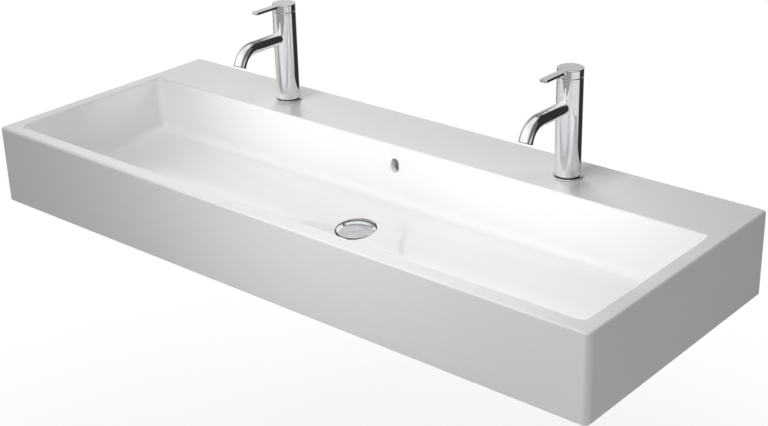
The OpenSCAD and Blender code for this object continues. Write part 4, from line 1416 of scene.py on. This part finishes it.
@dataclass
class Studio:
    """World, lamps, floor and camera, in metres.

    The world shows reflections a studio of zones. A zone has a brightness, a way that it lies,
    and spans: the pair of heights or cosines between which it fades in.
    """

    ambient: float = 0.03
    least_level: float = 0.001
    sky: float = 0.17
    key: float = 1.15
    key_way: Point = (-0.19, -0.894, 0.407)
    key_span: Pair = (0.09, 0.74)
    left: float = 0.72
    left_span: Pair = (0.0, 0.6)
    left_top: Pair = (0.15, 0.75)
    ground: float = 0.80
    ground_front: float = 0.36
    ground_span: Pair = (-0.85, -0.6)
    ground_left: float = 0.12
    ground_left_way: Point = (-0.927, 0.375, 0.0)
    ground_left_span: Pair = (0.91, 0.97)
    horizon: Pair = (-0.08, 0.02)
    dark: float = 0.035
    dark_way: Point = (0.454, 0.891, 0.0)
    dark_span: Pair = (0.77, 0.86)
    dark_foot: Pair = (-0.67, -0.53)
    dark_top: Pair = (0.59, 0.98)
    ceiling: float = 0.95
    ceiling_span: Pair = (0.78, 0.92)
    floor_at: Point = (0.0, -0.235, -0.80)
    floor_r: float = 1.5
    floor_flats: int = 128
    floor_grey: float = 0.82
    floor_fade: Pair = (0.45, 0.98)
    floor_white: float = 0.8
    image_w: float = 768
    sensor_w: float = 36
    focal_px: float = 1461.359
    camera_reach: float = 20
    camera_at: Point = (1.443396, -1.822346, 0.950640)
    camera_right: Point = (0.76229711, 0.64675312, -0.02476953)
    camera_up: Point = (-0.24717448, 0.32627562, 0.91238643)
    camera_back: Point = (0.59817046, -0.68938714, 0.40857982)
    lamps: tuple[Lamp, ...] = (
        Lamp("key_softbox", (-0.499, -2.113, 2.348), (0.0, -0.25, 0.05), (0.7, 0.7), 25.0),
        Lamp("left_rear_softbox", (-2.075, 1.825, 1.1), (0.0, -0.25, 0.05), (1.2, 1.2), 79.0),
        Lamp("right_rear_softbox", (2.075, 1.825, 1.1), (0.0, -0.25, 0.05), (1.2, 1.2), 22.0),
        Lamp("front_right_fill", (1.0, -1.2, 0.0), (1.0, -0.4, 0.0), (0.5, 0.5), 2.4),
        Lamp("right_side_fill", (1.6, -0.235, 0.0), (0.6, -0.235, 0.0), (0.5, 0.5), 1.5),
        Lamp("front_fill", (0.1, -0.85, 0.12), (0.1, -0.47, 0.0), (0.4, 0.2), 0.48),
        Lamp("rim_strip", (0.0, -0.457, 0.18), (0.0, -0.457, 0.0), (1.1, 0.03), 0.09),
        Lamp("overhead_front", (0.2, -0.8, 0.75), (0.2, -0.345, 0.0), (0.5, 0.5), 3.4),
        Lamp("overhead_left", (-0.6, -0.1, 0.9), (-0.6, -0.345, 0.0), (0.5, 0.5), 0.35),
        Lamp("left_wall_strip", (-0.25, -0.36, 0.13), (-0.22, -0.13, 0.12), (0.4, 0.08), 0.37),
        Lamp("right_wall_strip", (0.28, -0.36, 0.13), (0.28, -0.13, 0.12), (0.5, 0.08), 0.40),
    )

    def build_world(self) -> None:
        """White to the camera, an even soft sky for the light, and a studio for the gloss."""
        world = bpy.data.worlds.new("studio")
        bpy.context.scene.world = world
        world.use_nodes = True
        wires = Wiring(world.node_tree)
        add, calc, step, lerp = wires.add, wires.math, wires.step, wires.lerp
        ray = add("ShaderNodeTexCoord").outputs["Generated"]
        x, y, z = add("ShaderNodeSeparateXYZ", {0: ray}).outputs

        def along(way: Point) -> Socket:
            """Cosine of the angle between the ray and a way."""
            node = add("ShaderNodeVectorMath", {0: ray, 1: way}, operation="DOT_PRODUCT")
            return node.outputs["Value"]

        level = calc("SQRT", calc("ADD", calc("MULTIPLY", x, x), calc("MULTIPLY", y, y)))
        level = calc("MAXIMUM", level, self.least_level)
        key = step(along(self.key_way), *self.key_span)
        sky = calc("ADD", self.sky, calc("MULTIPLY", key, self.key - self.sky))
        left = lerp(self.left, self.sky, step(z, *self.left_top))
        side = step(calc("MULTIPLY", x, -1.0), *self.left_span)
        sky = calc("MAXIMUM", sky, calc("MULTIPLY", left, side))
        front = step(calc("DIVIDE", y, level), *self.ground_span)
        side = step(calc("DIVIDE", along(self.ground_left_way), level), *self.ground_left_span)
        ground = lerp(lerp(self.ground_front, self.ground, front), self.ground_left, side)
        low = calc("SUBTRACT", 1.0, step(z, *self.horizon))
        sky = calc("MULTIPLY", sky, calc("SUBTRACT", 1.0, low))
        sky = calc("ADD", sky, calc("MULTIPLY", ground, low))
        turned = calc("DIVIDE", along(self.dark_way), level)
        under = calc("SUBTRACT", 1.0, step(z, *self.dark_top))
        tall = calc("MULTIPLY", step(z, *self.dark_foot), under)
        dark = calc("MULTIPLY", step(turned, *self.dark_span), tall)
        zones = lerp(lerp(sky, self.dark, dark), self.ceiling, step(z, *self.ceiling_span))
        soft, studio, white = (
            add("ShaderNodeBackground", {"Color": WHITE, "Strength": strength})
            for strength in (self.ambient, zones, 1.0)
        )
        path = add("ShaderNodeLightPath").outputs
        gloss = add("ShaderNodeMixShader", {0: path["Is Glossy Ray"], 1: soft, 2: studio})
        seen = calc("MAXIMUM", path["Is Camera Ray"], path["Is Transmission Ray"])
        mix = add("ShaderNodeMixShader", {0: seen, 1: gloss, 2: white})
        add("ShaderNodeOutputWorld", {"Surface": mix})

    def build_floor(self) -> None:
        """A round pale floor that keeps a soft shadow and fades to white at its edge."""
        (x, y, z), r, flats = (c / MM for c in self.floor_at), self.floor_r / MM, self.floor_flats
        points = [(x, y, z)] + [(x + r * c, y + r * s, z) for c, s in turn(flats)]
        faces = [(0, 1 + k, 1 + (k + 1) % flats) for k in range(flats)]
        floor = Shapes.mesh_object("floor", points, faces)
        material = bpy.data.materials.new("pale_floor")
        material.use_nodes = True
        wires = Wiring(material.node_tree)
        add, (near, far) = wires.add, (share * self.floor_r for share in self.floor_fade)
        matt = add("ShaderNodeBsdfDiffuse", {"Color": (*[self.floor_grey] * 3, 1)})
        at = add("ShaderNodeTexCoord").outputs["Object"]
        middle = tuple(-c for c in self.floor_at)
        centred = add("ShaderNodeMapping", {"Vector": at, "Location": middle})
        distance = add("ShaderNodeVectorMath", {0: centred}, operation="LENGTH").outputs["Value"]
        ends = {"Value": distance, "From Min": near, "From Max": far, "To Min": self.floor_white}
        fade = add("ShaderNodeMapRange", ends, interpolation_type="SMOOTHSTEP").outputs["Result"]
        seen = add("ShaderNodeLightPath").outputs["Is Camera Ray"]
        share = wires.math("MULTIPLY", seen, fade)
        mix = add("ShaderNodeMixShader", {0: share, 1: matt, 2: add("ShaderNodeEmission")})
        add("ShaderNodeOutputMaterial", {"Surface": mix})
        floor.data.materials.append(material)
        floor.visible_glossy = False

    def build_camera(self) -> None:
        """The camera where the photograph was taken from."""
        data = bpy.data.cameras.new("camera")
        data.sensor_fit, data.sensor_width = "HORIZONTAL", self.sensor_w
        data.clip_end = self.camera_reach
        data.lens = self.sensor_w * self.focal_px / self.image_w
        camera = bpy.data.objects.new("camera", data)
        turned = Matrix((self.camera_right, self.camera_up, self.camera_back)).transposed()
        camera.matrix_world = Matrix.Translation(self.camera_at) @ turned.to_4x4()
        bpy.context.scene.collection.objects.link(camera)
        bpy.context.scene.camera = camera

    def build(self) -> None:
        """Set up the view, the light, the floor and the camera."""
        bpy.context.scene.view_settings.view_transform = "Standard"
        self.build_world()
        self.build_floor()
        for lamp in self.lamps:
            lamp.build()
        self.build_camera()


def main() -> None:
    """Build the pieces in order, the light and the camera."""
    logging.basicConfig(level=logging.INFO, format="%(name)s: %(message)s")
    palette = Palette()
    palette.dress_nodes()
    bar = SweptBar()
    Basin(palette).build()
    for side in Side:
        Mixer(palette, bar, side).build()
    PushCap(palette).build()
    Studio().build()


if __name__ == "__main__":
    main()
